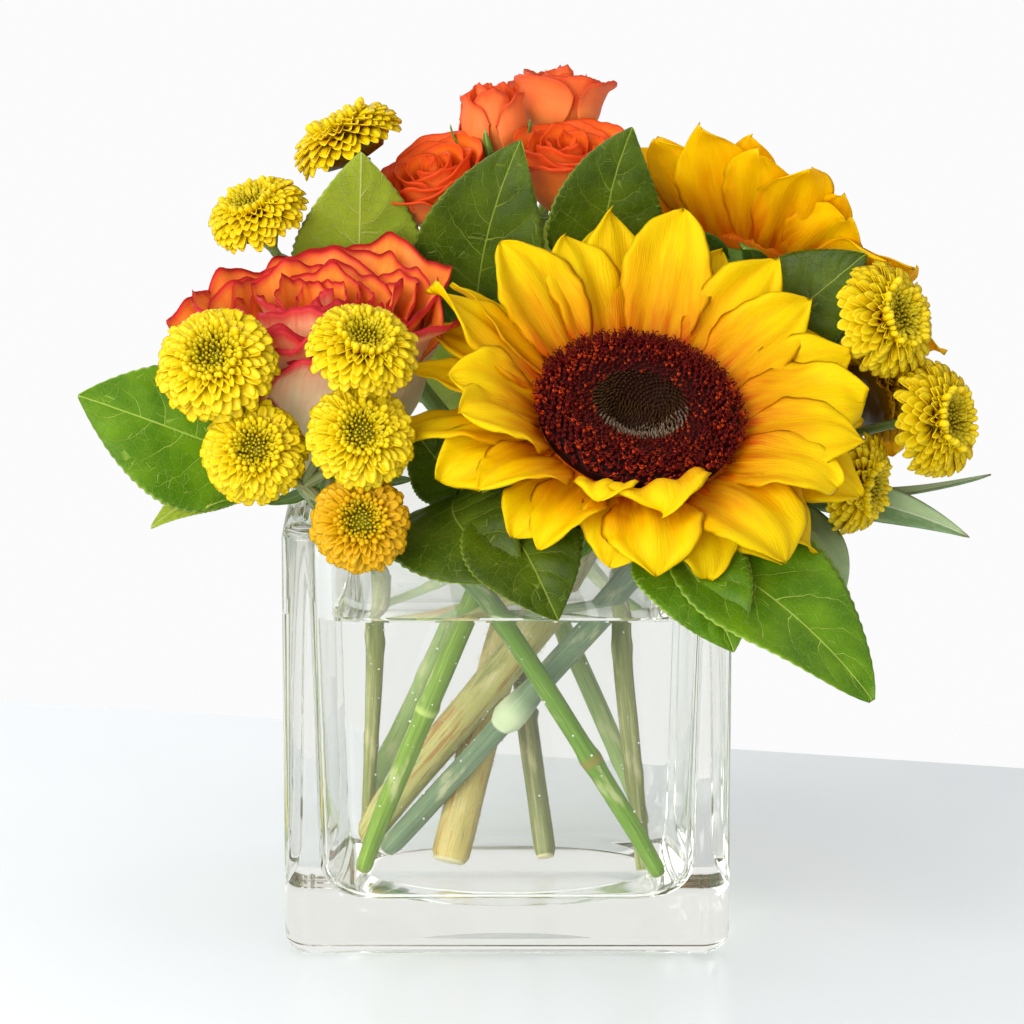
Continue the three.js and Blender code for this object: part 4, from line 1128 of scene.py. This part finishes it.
def add_hip(pile, rose, slot, leaf_slot):
    """Green hip and five long pointed sepals under a rose."""
    where = Frame(rose["foot"], rose["facing"])
    size = rose["belly"]
    shape = seeded(rose["seed"] + 3)
    hip = [(0.1, -0.46), (0.19, -0.36), (0.24, -0.22), (0.21, -0.08), (0.2, -GAP / size)]
    add_turned(pile, [(radius * size, height * size) for radius, height in hip], 24, where, slot)
    # The sepals of a bud still hold it, and those of an open rose spread
    bud = rose["mouth"] < rose["belly"]
    length, lift, bend = (1.9, 38, 52) if bud else (0.62, -12, 30)
    for i in range(SEPALS):
        grid, s, t = ray_grid(
            2 * math.pi * i / SEPALS + 0.3, 0.19 * size, -0.12 * size, length * size,
            math.radians(lift), math.radians(bend), yaw=0.0, roll=0.0, half_width=0.16 * size,
            draw=shape, rows=16, columns=7, wild=0.2,
        )
        add_sheet(pile, grid, s, t, shape(), 0.5, leaf_slot, where)


# ------------------------------------------------------------ button chrysanthemums

# Shares of a floret's length at which its rows of points lie
FLORET_SHARES = np.array([0, 0.2, 0.4, 0.58, 0.72, 0.83, 0.91, 0.965, 1.0])[:, None]


def floret_grid(base, bulge, tip, half_width, cup, columns=5):
    """Spoon-shaped floret that arches from its base over a bulge to its tip."""
    t = FLORET_SHARES
    spine, along = arch(base, bulge, tip, t)
    side = np.broadcast_to(unit(np.cross(UP, tip)), along.shape)
    up = unit(np.cross(along, side))
    s = np.linspace(-1, 1, columns)[None]
    round_end = np.sqrt(np.clip(1 - ((t - 0.8) / 0.205) ** 2, 0.008, 1))
    w = half_width * np.where(t < 0.8, 0.4 + 0.6 * smooth(t, 0.15, 0.75), round_end)
    z = cup * w * np.abs(s) ** 1.6
    return blade(spine, side, up, w * s, z), s, t


def quill():
    """Small round-ended tube, one unit long."""
    pile = Pile()
    path = np.array([[0, 0, z] for z in (0, 0.45, 0.75, 0.92, 1.0)], float)
    add_tube(pile, path, [0.12, 0.15, 0.19, 0.17, 0.06], 6)
    return template_of(pile)


QUILLS = 120
FLORETS = 205
DIMPLE_ANGLE = math.radians(31)
SKIRT_ANGLE = math.radians(106)


def add_pompon(centre, facing, radius, seed, node, material):
    """Button chrysanthemum: a dimple of quills, then florets that arch outwards."""
    where = Frame(centre, facing)
    random = np.random.default_rng(seed)
    pile = Pile()
    core = [(0.25, -0.3), (0.55, -0.24), (0.64, -0.1), (0.58, 0.16), (0.42, 0.34), (0.2, 0.34)]
    core.append((0.04, 0.3))
    add_turned(pile, [(r * radius, h * radius) for r, h in core], 28, where, number=0.1)
    q, outward = golden(QUILLS)
    far = 0.42 * radius * q
    origins = outward * far[:, None] + UP * (0.3 * radius)
    z = unit(UP + outward * (0.9 * far / radius)[:, None] + 0.07 * random.normal(size=(QUILLS, 3)))
    axes = axes_of(z, np.cross(z, outward + 0.01))
    tall = radius * (0.15 + 0.25 * (q**2) ** 1.2) * (1 + 0.07 * random.normal(size=QUILLS))
    scatter(pile, quill(), origins, axes, tall, 0.3 * q**2, 0, where)
    for i in range(FLORETS):
        share = (i + 0.5) / FLORETS
        cosine = lerp(math.cos(DIMPLE_ANGLE), math.cos(SKIRT_ANGLE), share)
        theta = math.acos(cosine) + 0.03 * random.normal()
        opened = float(smooth(np.array(theta), 0.6, 1.35))
        grown = lerp(0.74, 1.0, float(smooth(np.array(theta), 0.5, 1.3)))
        reach = radius * grown * (1 + 0.03 * random.normal())
        outward = ring(np.array(i * GOLDEN_ANGLE + 0.05 * random.normal()))
        tip = outward * (reach * math.sin(theta)) + UP * (reach * math.cos(theta) * 0.8 + 0.02 * radius)
        inner = theta * lerp(0.82, 0.7, opened)
        bulge = outward * (0.66 * reach * math.sin(inner)) + UP * (0.6 * reach * math.cos(inner))
        base_height = 0.16 * radius * math.cos(inner) - 0.05 * radius
        base = outward * (0.3 * radius * math.sin(inner)) + UP * base_height
        half_width = radius * lerp(0.05, 0.118, opened) * (0.9 + 0.2 * random.random())
        grid, s, t = floret_grid(base, bulge, tip, half_width, lerp(1.5, 0.6, opened))
        tone = 0.26 + 0.3 * opened + 0.44 * random.random() * opened
        add_sheet(pile, grid, s, t, tone, 0.3, where=where)
    return pile.make(node, [material])


def pedicel(number, fork, via=None):
    """Way of a pedicel from the fork of a spray to the underside of a pompon."""
    centre, facing, radius = POMPONS[number]
    where = Frame(centre, facing)
    depth = 0.32 * radius + GAP
    neck, seat = where.place([[0, 0, -depth - 8], [0, 0, -depth]])
    middle = lerp(np.asarray(fork, float), neck, 0.5) if via is None else via
    return [fork, middle, neck, seat]


# ------------------------------------------------------------ stems and sprigs


def knotty(knots, size=0.35, wide=2.2, ribs=0.015, rib_count=3, narrow=0.0):
    """Bumps for a tube: swellings at millimetres along it, ribs, and a step at the last of them."""

    def bumps(angle, y):
        swell = sum(size * np.exp(-(((y - knot) / wide) ** 2)) for knot in knots)
        lip = sum(0.3 * size * np.exp(-(((y - knot - wide * 0.6) / 0.5) ** 2)) for knot in knots)
        scar = 0.5 * lip * np.sin(angle + y * 0.02)
        groove = ribs * np.cos(angle * rib_count + 0.3 * np.sin(y * 0.05))
        wobble = 0.012 * np.sin(y * 0.21 + 2 * angle)
        thinner = narrow * smooth(y, knots[-1], knots[-1] + 2) if narrow else 0
        return 1 + swell + lip + scar + groove + wobble - thinner

    return bumps


SAGE_NODE = 57


def sage_bumps(angle, y):
    """Sharp-edged swollen joint low on the sage stem, which is thicker above it."""
    sheath = 0.5 * smooth(y, SAGE_NODE, SAGE_NODE + 1.2)
    sheath = sheath * (1 - 0.75 * smooth(y, SAGE_NODE + 4, SAGE_NODE + 18))
    torn = 0.06 * np.sin(angle * 2 + 1) * np.exp(-(((y - SAGE_NODE - 1) / 1.5) ** 2))
    return 1 + sheath + torn + 0.012 * np.sin(y * 0.2 + angle)


FRONT_SUNFLOWER_STEM = [(-43, 10, 20), (9.5, -12, 89.4)]
BACK_SUNFLOWER_STEM = [(-17, -6, 16.4), (0.8, 20, 83.4), (13, 19, 112)]
ROSE_STEM = [(45, -31, 17.5), (-1.4, -42, 94.6), (-19, -41, 111), (-37, -31, 118), (-48.5, -21, 124)]
SPRAY_FORK = (3, 24, 178)
SPRAY_STEM = [(-43, -22, 17), (-12, -36, 94), (1, -28, 122), (5, -4, 150), SPRAY_FORK]

POMPON_SPRAYS = {
    "back_pompon_stem": dict(
        stem=[(42, 40, 17.5), (15.6, 47, 78), (0, 46, 110), (-26, 40, 146), (-46, 32, 174)],
        heads=[(0, None), (1, (-64, 26, 186))], material=PALE_STEM_GREEN, knots=[22, 60, 100],
    ),
    "left_pompon_stem": dict(
        stem=[(-43, 20, 17), (-38.6, 10, 85.5), (-48, -14, 108), (-53, -38, 126), (-57, -52, 135)],
        heads=[(i, None) for i in (2, 3, 4, 5, 6)], material=POMPON_STEM_GREEN, knots=[30, 62],
    ),
    "right_pompon_stem": dict(
        stem=[(40, -17, 16), (32.8, 0, 87.3), (43, 2, 110), (53, 0, 127), (64, -3, 131), (77, -7, 135)],
        heads=[(i, None) for i in (7, 8, 9, 10)], material=POMPON_STEM_GREEN, knots=[28, 66],
    ),
}

LEFT_SALAL = dict(
    stem=[(-43, 33, 17), (-40, 24, 85), (-47, 12, 112), (-58, 8, 131)],
    twigs=[
        [(-58, 8, 131), (-69, -14, 127), (-70, -38, 131), (-66, -51, 140)],
        [(-58, 8, 131), (-53, 18, 150), (-44, 17, 166)],
    ],
    leaves=[
        dict(base=(-44, 17, 163), tip=(-42, 3, 222), bow=(0, -1.5, 0), face=(0, 1, 0.2), width=40),
        dict(
            base=(-66, -51, 140), tip=(-120, -57, 162), bow=(0, -2, 1), face=(-0.1, -0.95, 0.3), width=42,
        ),
        dict(base=(-68, -34, 130), tip=(-84, -62, 131), bow=(0, 0, 3), face=(0, -0.15, 1), width=20),
        dict(
            base=(-70, -38, 132), tip=(-101, -46, 121.5), bow=(0, 0, 4), face=(0, -0.8, 0.6), width=13,
            pale=True,
        ),
        dict(base=(-58, 8, 131), tip=(-112, 44, 140), bow=(0, 0, 8), face=(-0.2, 0.3, 0.9), width=40),
    ],
)
CENTRE_SALAL = dict(
    stem=[(11, 2, 16), (2.3, 35, 81), (5, 37, 110), (8, 34, 136), (-4, 26, 152), (-9, 12, 165)],
    twigs=[
        [(8, 34, 136), (30, 20, 160), (28, 4, 184)],
        [(30, 20, 160), (55, -6, 167), (73.5, -13, 170)],
        [(8, 34, 136), (8, 52, 152), (6, 62, 158)],
        [(5, 37, 112), (8, 50, 127), (8, 60, 133)],
        [(8, 50, 127), (22, 55, 131), (38, 59, 129)],
    ],
    leaves=[
        dict(base=(-9, 12, 163), tip=(4, 0, 226), bow=(-4, -5, 0), face=(-0.15, -0.95, 0.3), width=41),
        dict(base=(28, 4, 182), tip=(36, -3, 230), bow=(-3, 0, 0), face=(0.1, -0.95, 0.25), width=34),
        dict(
            base=(73.5, -13, 170), tip=(102.5, -17, 195.5), bow=(0, 0, 0), face=(-0.3, -0.85, 0.4), width=32,
        ),
        dict(base=(8, 58, 132), tip=(-50, 84, 150), bow=(0, 3, 2), face=(-0.3, 0.8, 0.5), width=40),
        dict(base=(36, 58, 129), tip=(64, 108, 100), bow=(0, 0, 2), face=(0.3, 0.5, 0.8), width=36),
        dict(base=(8, 58, 132), tip=(-8, 112, 112), bow=(0, 0, 9), face=(0, 0.5, 0.85), width=44),
        dict(base=(20, 54, 132), tip=(20, 106, 134), bow=(0, 0, 8), face=(0, 0.3, 0.95), width=34),
        dict(base=(6, 62, 158), tip=(-8, 90, 202), bow=(0, 4, -3), face=(0, 0.9, 0.4), width=42),
    ],
)
FRONT_SALAL = dict(
    stem=[
        (-45, 43, 18), (-16.6, 5, 86.4), (-11, -20, 115), (-12, -38, 129), (-6, -60, 131), (16, -71, 129),
        (46, -74, 127),
    ],
    twigs=[],
    # Leaves marked dark lie in the front sunflower's shade and get painted shade.
    leaves=[
        dict(
            base=(-14, -48, 131), tip=(5, -88, 115), bow=(-8, -4, 4), face=(-0.4, -0.5, 0.75), width=42,
            dark=True,
        ),
        dict(
            base=(-2, -64, 131), tip=(14, -92, 105.5), bow=(0, -6, 3), face=(0, -0.8, 0.6), width=34,
            dark=True,
        ),
        dict(
            base=(46, -74, 125.5), tip=(100, -105, 86), bow=(3, -5, 4), face=(0.25, -0.6, 0.75), width=44,
        ),
        dict(base=(40, -74, 127), tip=(62, -104, 99.5), bow=(2, -5, 3), face=(0, -0.7, 0.7), width=32),
        dict(
            base=(-12, -39, 130), tip=(-28, -50, 153), bow=(0, -2, 0), face=(0.1, -0.95, 0.3), width=22,
            dark=True,
        ),
    ],
)
SAGE = dict(
    stem=[
        (-35, 6, 17.5), (25.1, -30, 92.5), (42, -35, 112), (53, -35, 127), (66, -31, 129), (78, -23, 126),
    ],
    twigs=[],
    leaves=[
        dict(base=(76, -25, 126), tip=(96, -47, 103), bow=(3, -4, 3), face=(0.4, -0.7, 0.5), width=13),
        dict(base=(78, -23, 126), tip=(133, -26, 114.5), bow=(0, 0, 4), face=(0.1, -0.85, 0.5), width=12),
        dict(base=(78, -22, 126), tip=(141, -2, 128), bow=(0, 0, -3), face=(0, -0.2, 1), width=8),
        dict(base=(70, -30, 128), tip=(97.5, -60, 96.7), bow=(4, -4, 4), face=(0.3, -0.7, 0.5), width=6),
    ],
)


def add_sprig(name, sprig, materials, slot, radii, broad=True, bumps=knotty([30, 62, 96], 0.2)):
    """A stem with its twigs and leaves, which are broad ones or narrow ones."""
    pile = Pile()
    add_tube(pile, catmull(sprig["stem"], 150), radii, 20, bumps=bumps)
    for i, path in enumerate(sprig["twigs"]):
        add_tube(pile, catmull(path, 40), [1.7, 1.5, 1.3], 10, 0.1 * i)
    for i, leaf in enumerate(sprig["leaves"]):
        add_leaf(pile, leaf, 1.7 * i, (0.37 * i + 0.13) % 1, broad)
    return pile.make(name, materials)


# ------------------------------------------------------------ vase and water


def square_loop(half, corner, z, steps=10):
    """Square with round corners, counter-clockwise from above."""
    points = []
    for c in range(4):
        middle = math.pi / 2 * c + math.pi / 4
        reach = (half - corner) * math.sqrt(2)
        for i in range(steps + 1):
            a = math.pi / 2 * (c + i / steps)
            x = reach * math.cos(middle) + corner * math.cos(a)
            y = reach * math.sin(middle) + corner * math.sin(a)
            points.append((x, y, z))
    return np.array(points)


def cavity_profile(top, inset):
    """(half width, corner, height) of the cavity from its floor up to a height."""
    half = VASE["cavity_floor"] - inset
    floor = VASE["floor_top"] + inset
    fillet, corner = VASE["fillet"], VASE["cavity_corner"]
    rows = []
    for a in np.linspace(0, math.pi / 2, 9):
        inward = fillet * (1 - math.sin(a))
        rows.append((half - inward, corner - inward, floor + fillet * (1 - math.cos(a))))
    slope = (VASE["cavity_rim"] - VASE["cavity_floor"]) / (VASE["height"] - VASE["floor_top"] - fillet)
    for z in np.linspace(floor + fillet, top, 8)[1:]:
        rows.append((half + slope * (z - floor - fillet), corner, z))
    return rows


def add_skin(pile, profile, slots):
    """Adds a closed body of square loops. slots[i] is the material of the faces above loop i."""
    loops = np.stack([square_loop(*row) for row in profile])
    count, n = loops.shape[:2]
    bands, start, end = closed_faces(count, n)
    faces = [*bands.reshape(count - 1, n, 4), start, end]
    zero = np.zeros(loops.shape)
    pile.add(loops, faces, zero, zero, [*slots[: count - 1], slots[0], slots[-1]])


# Share of a loop's half width that the dent's corners round off. At 1 some of its points would meet.
NEARLY_ROUND = 0.97
# Round dent in the cavity's floor: (millimetres outwards from its radius, millimetres down)
DENT_RADIUS = 42.4
DENT = [(0.9, 0.0), (0.4, 0.3), (0.1, 2.2), (-0.5, 2.6), (-2.4, 2.7), (-22, 2.7)]
# How far inside the foot's edge the flat underside starts
FOOT_MARGIN = 0.6


def add_vase():
    """Vase: its outside, rim, dry inside, wet inside and dented floor, in one closed skin."""
    pile = Pile()
    half, corner, foot, height = VASE["half"], VASE["corner"], VASE["foot"], VASE["height"]
    rim = VASE["rim_round"]
    profile = [(half - foot - FOOT_MARGIN, corner - 0.9 * foot - FOOT_MARGIN, 0.0)]
    for a in np.linspace(0, math.pi / 2, 9):
        inward = foot * (1 - math.sin(a))
        profile.append((half - inward, corner - inward * 0.9, foot * (1 - math.cos(a))))
    for z in np.linspace(foot, height - rim, 8)[1:]:
        profile.append((half, corner, z))
    for a in np.linspace(0, math.pi / 2, 6)[1:]:
        profile.append((half - rim * (1 - math.cos(a)), corner, height - rim + rim * math.sin(a)))
    inner = VASE["cavity_rim"]
    for a in np.linspace(0, math.pi / 2, 6):
        out = inner + rim * (1 - math.sin(a))
        profile.append((out, VASE["cavity_corner"], height - rim + rim * math.cos(a)))
    above = cavity_profile(height - rim, 0)[::-1]
    dry = [row for row in above if row[2] > WATER_LEVEL + 0.4][1:]
    wet = [row for row in above if row[2] <= WATER_LEVEL + 0.4]
    half_there = np.interp(WATER_LEVEL, [row[2] for row in above[::-1]], [row[0] for row in above[::-1]])
    water_line = (float(half_there), VASE["cavity_corner"], WATER_LEVEL)
    profile += dry + [water_line]
    dry_count = len(profile) - 1
    profile += [row for row in wet if row[2] < WATER_LEVEL - 0.5]
    for out, down in DENT:
        reach = DENT_RADIUS + out
        profile.append((reach, NEARLY_ROUND * reach, VASE["floor_top"] - down))
    dent_floor = 3
    slots = [0] * dry_count + [1] * (len(profile) - dry_count - dent_floor) + [2] * dent_floor
    add_skin(pile, profile, slots)
    return pile.make("glass_vase", [VASE_GLASS, WET_GLASS, DENT_GLASS])


def bubble():
    """Ball of radius one."""
    pile = Pile()
    tilt = np.linspace(-math.pi / 2, math.pi / 2, 7)
    profile = [(max(math.cos(a), 0.05), math.sin(a)) for a in tilt]
    add_turned(pile, profile, 9, Frame((0, 0, 0), (0.01, 0, 1)))
    return template_of(pile)


BUBBLES_ON_STEM = 26
# How high the water climbs the glass: (millimetres in from the glass, millimetres up)
CLIMB = [(0.5, 0.6), (1.2, 0.2), (2.4, 0.0)]
CLIMB_TOP = 1.3


def add_bubbles(pile, slot):
    """Small bubbles of air that cling to the stems under water."""
    random = np.random.default_rng(8)
    stems = [(FRONT_SUNFLOWER_STEM, 5.3), (BACK_SUNFLOWER_STEM, 5.5), (ROSE_STEM, 2.9), (SPRAY_STEM, 3.0)]
    stems += [(spray["stem"], 2.8) for spray in POMPON_SPRAYS.values()]
    stems += [(LEFT_SALAL["stem"], 2.3), (CENTRE_SALAL["stem"], 3), (FRONT_SALAL["stem"], 2.6)]
    stems += [(SAGE["stem"], 3.4)]
    places = []
    for path, thick in stems:
        points = catmull(path, 300)
        wet = points[points[:, 2] < WATER_LEVEL - 4]
        _, side, rise = carried(wet)
        for _ in range(BUBBLES_ON_STEM):
            i = int(random.integers(8, len(wet)))
            angle = random.random() * 2 * math.pi
            out = side[i] * math.cos(angle) + rise[i] * math.sin(angle)
            places.append(wet[i] + out * (thick + 0.2))
    count = len(places)
    sizes = 0.14 + 0.26 * random.random(count) ** 2
    axes = np.broadcast_to(np.eye(3), (count, 3, 3))
    scatter(pile, bubble(), np.array(places), axes, sizes, np.zeros(count), slot)


def add_water():
    """Water, its surface drawn up a little where it meets the glass."""
    pile = Pile()
    profile = cavity_profile(WATER_LEVEL - 1.6, 0.04)
    half, corner, _ = profile[-1]
    side = [(half + 0.06, corner, WATER_LEVEL + CLIMB_TOP)]
    top = [(half - inward, corner - inward, WATER_LEVEL + rise) for inward, rise in CLIMB]
    slots = [0] * len(profile) + [1] * (len(top) + 1)
    add_skin(pile, profile + side + top, slots)
    add_bubbles(pile, 2)
    return pile.make("water", [WATER_SIDE, WATER_TOP, BUBBLE_REFLECTION])


# ------------------------------------------------------------ build

add_rays(FRONT_SUNFLOWER, FRONT_RAYS, "front_sunflower_rays", RAY)
add_disc(FRONT_SUNFLOWER, "front_sunflower_disc")
radii = [5, 5.3, 5.3, 5]
add_calyx(FRONT_SUNFLOWER, "front_sunflower_calyx_and_stem", FRONT_SUNFLOWER_STEM, radii, SUN_STEM)
add_rays(BACK_SUNFLOWER, BACK_RAYS, "back_sunflower_rays", RAY_DEEP)
add_disc(BACK_SUNFLOWER, "back_sunflower_disc")
radii = [5.4, 5.5, 5.3, 5]
add_calyx(BACK_SUNFLOWER, "back_sunflower_calyx_and_stem", BACK_SUNFLOWER_STEM, radii, SUN_STEM_BACK)

add_rose(BICOLOUR_ROSE, "bicolour_rose_petals", ROSE_INSIDE, ROSE_OUTSIDE)
rose_green = Pile()
add_tube(rose_green, catmull(ROSE_STEM, 150), [2.8, 3, 3], 20, bumps=knotty([42], 0.2, 2.6))
add_hip(rose_green, BICOLOUR_ROSE, 0, 1)
rose_green.make("bicolour_rose_hip_and_stem", [ROSE_STEM_GREEN, BRACT])

for i, rose in enumerate(SPRAY_ROSES):
    coral = rose.get("coral")
    inside, outside = (CORAL_INSIDE, CORAL_OUTSIDE) if coral else (SPRAY_INSIDE, SPRAY_OUTSIDE)
    add_rose(rose, f"spray_rose_{i + 1}_petals", inside, outside)
spray_green = Pile()
add_tube(spray_green, catmull(SPRAY_STEM, 150), [3, 3, 2.8], 20, bumps=knotty([55], 0.16, 2.0))
for rose in SPRAY_ROSES:
    where = Frame(rose["foot"], rose["facing"])
    neck, seat = where.place([[0, 0, -0.75 * rose["belly"]], [0, 0, -0.3 * rose["belly"]]])
    add_tube(spray_green, catmull([SPRAY_FORK, neck, seat], 30), [2, 1.6, 1.6], 12, 0.4)
    add_hip(spray_green, rose, 0, 1)
spray_green.make("spray_rose_stem", [SPRAY_STEM_GREEN, BRACT])

for i, (centre, facing, radius) in enumerate(POMPONS):
    # Pompons in shade get the darker copy of the pompon colours: painted shade.
    material = POMPON_SHADED if i in SHADED_POMPONS else POMPON
    add_pompon(centre, facing, radius, 60 + i, f"pompon_{i + 1:02d}", material)
for name, spray in POMPON_SPRAYS.items():
    pile = Pile()
    bumps = knotty(spray["knots"], size=0.12, ribs=0.04, rib_count=7)
    add_tube(pile, catmull(spray["stem"], 150), [2.8, 2.8, 2.3], 18, bumps=bumps)
    for number, via in spray["heads"]:
        way = catmull(pedicel(number, spray["stem"][-1], via), 36)
        add_tube(pile, way, [1.7, 1.5, 1.3, 1.4, 4.2], 12, 0.1 * number)
    pile.make(name, [spray["material"]])

add_sprig("left_salal_sprig", LEFT_SALAL, [WOODY_STEM, SALAL, SALAL_UNDER], "salal_green", [2.3, 2.3, 2])
# The centre sprig's leaves lie in shade among the flowers and all get the darker copy: painted shade.
centre_materials = [WOODY_STEM, SALAL_SHADED, SALAL_UNDER]
centre_bumps = knotty([45], size=0.26, wide=1.4, ribs=0.06, rib_count=5, narrow=0.14)
add_sprig(
    "centre_salal_sprig", CENTRE_SALAL, centre_materials, "salal_green", [3.1, 2.9, 2], True, centre_bumps
)
front_materials = [PALE_STEM_GREEN, SALAL, SALAL_UNDER, SALAL_SHADED]
add_sprig("front_salal_sprig", FRONT_SALAL, front_materials, "salal_green", [2.6, 2.4, 1.8])
add_sprig("sage_sprig", SAGE, [SAGE_STEM, SAGE_LEAF], "sage_green", [3.2, 3.2, 2], False, sage_bumps)

add_vase()
add_water()

# ------------------------------------------------------------ floor, light and camera

# The camera looks towards +Y and down by its pitch in degrees
CAMERA_PLACE = (1.4, -1486, 435)
CAMERA_PITCH = 12.1
FOCAL_PIXELS = 5200
FRAME_PIXELS = 1024
SENSOR = 36


def add_camera():
    """Camera of the photo, worked out from the vase's edges."""
    data = bpy.data.cameras.new("camera")
    data.sensor_width = SENSOR
    data.lens = FOCAL_PIXELS * SENSOR / FRAME_PIXELS
    data.clip_start = 0.05
    camera = bpy.data.objects.new("camera", data)
    camera.location = [c * MM for c in CAMERA_PLACE]
    camera.rotation_euler = (math.radians(90 - CAMERA_PITCH), 0, 0)
    bpy.context.scene.collection.objects.link(camera)
    bpy.context.scene.camera = camera


def add_area(name, place, size, power, colour=(1, 1, 1), target=(0, 0, 0.12), seen=True):
    """Lamp in metres and watts, which faces its target. Glass and gloss don't show an unseen one."""
    data = bpy.data.lights.new(name, "AREA")
    data.shape = "RECTANGLE"
    data.size, data.size_y = size
    data.energy = power
    data.color = colour
    lamp = bpy.data.objects.new(name, data)
    lamp.location = place
    away = unit(np.array(place) - np.array(target))
    yaw = math.atan2(away[0], -away[1])
    lamp.rotation_euler = (math.acos(away[2]), 0, yaw)
    lamp.visible_glossy = seen
    lamp.visible_transmission = seen
    bpy.context.scene.collection.objects.link(lamp)


# The table: how far it lies below the vase, half its width, its near edge, a point of its far edge
# and that edge's slope
FLOOR_DROP = 0.2
TABLE_REACH = 3000
TABLE_NEAR = -2500
TABLE_EDGE = (1.4, 191)
TABLE_EDGE_SLOPE = -0.264
# Strength of the glow under the vase, and how far inside the vase's side it starts to fade and ends
FOOTPRINT_GLOW = 0.45
GLOW_FADES = 14
GLOW_ENDS = 3


def add_floor():
    """Pale table whose far edge runs across the picture behind the vase.

    Clear glass gathers light onto the patch that it stands on, which a small glow stands for.
    """
    g = Graph("floor")
    where = g.add("TexCoord", output="Object")
    grain = g.noise(where, 14.0, 3.0)
    colour = g.mix(grain, srgb(221, 225, 228), srgb(225, 229, 232))
    x, y, _ = g.parts(where)
    out = g.math("MAXIMUM", abs(x), abs(y))
    half = VASE["half"]
    glow = g.level(out, (half - GLOW_FADES) * MM, (half - GLOW_ENDS) * MM, FOOTPRINT_GLOW, 0.0)
    white = (1.0, 1.0, 1.0, 1.0)
    material = g.finish(
        g.principled(colour, 0.3, specular=0.3, Emission_Color=white, Emission_Strength=glow)
    )
    mesh = bpy.data.meshes.new("floor")
    corners = [(-TABLE_REACH, TABLE_NEAR), (TABLE_REACH, TABLE_NEAR)]
    for x in (TABLE_REACH, -TABLE_REACH):
        corners.append((x, TABLE_EDGE[1] + TABLE_EDGE_SLOPE * (x - TABLE_EDGE[0])))
    mesh.from_pydata([(x * MM, y * MM, -FLOOR_DROP * MM) for x, y in corners], [], [(0, 1, 2, 3)])
    mesh.materials.append(material)
    floor = bpy.data.objects.new("floor", mesh)
    bpy.context.scene.collection.objects.link(floor)


# The wall as the camera sees it, and the shares of that which light the scene and show in reflections
WALL_BRIGHTNESS = 0.97
AMBIENT_SHARE = 0.84
MIRRORED_SHARE = 0.6


def add_world():
    """White surroundings, dimmer as a light and as a reflection than as the wall that the camera sees."""
    world = bpy.data.worlds.new("studio")
    world.use_nodes = True
    tree = world.node_tree
    background = tree.nodes["Background"]
    background.inputs[0].default_value = (1, 1, 1, 1)
    path = tree.nodes.new("ShaderNodeLightPath")

    def blend(ray, other, value):
        """Gives value for rays of one kind and other for the rest."""
        made = tree.nodes.new("ShaderNodeMapRange")
        tree.links.new(path.outputs[ray], made.inputs[0])
        if isinstance(other, float):
            made.inputs[3].default_value = other
        else:
            tree.links.new(other, made.inputs[3])
        made.inputs[4].default_value = value
        return made.outputs[0]

    light = blend("Is Diffuse Ray", WALL_BRIGHTNESS * MIRRORED_SHARE, WALL_BRIGHTNESS * AMBIENT_SHARE)
    light = blend("Is Transmission Ray", light, WALL_BRIGHTNESS)
    light = blend("Is Camera Ray", light, WALL_BRIGHTNESS)
    tree.links.new(light, background.inputs[1])
    bpy.context.scene.world = world


add_camera()
add_floor()
add_world()
add_area("key", place=(-1.0, -1.3, 1.1), size=(1.3, 1.3), power=30, colour=(1, 0.99, 0.97))
add_area("front", place=(-0.5, -1.7, 0.3), size=(1.0, 0.5), power=16, target=(0, 0, 0.17), seen=False)
add_area("back", place=(-0.7, 1.0, 0.9), size=(0.9, 0.9), power=6)
bpy.context.scene.cycles.max_bounces = 24
bpy.context.scene.cycles.glossy_bounces = 24
bpy.context.scene.cycles.transmission_bounces = 24
bpy.context.scene.cycles.transparent_max_bounces = 20
bpy.context.scene.view_settings.view_transform = "Standard"
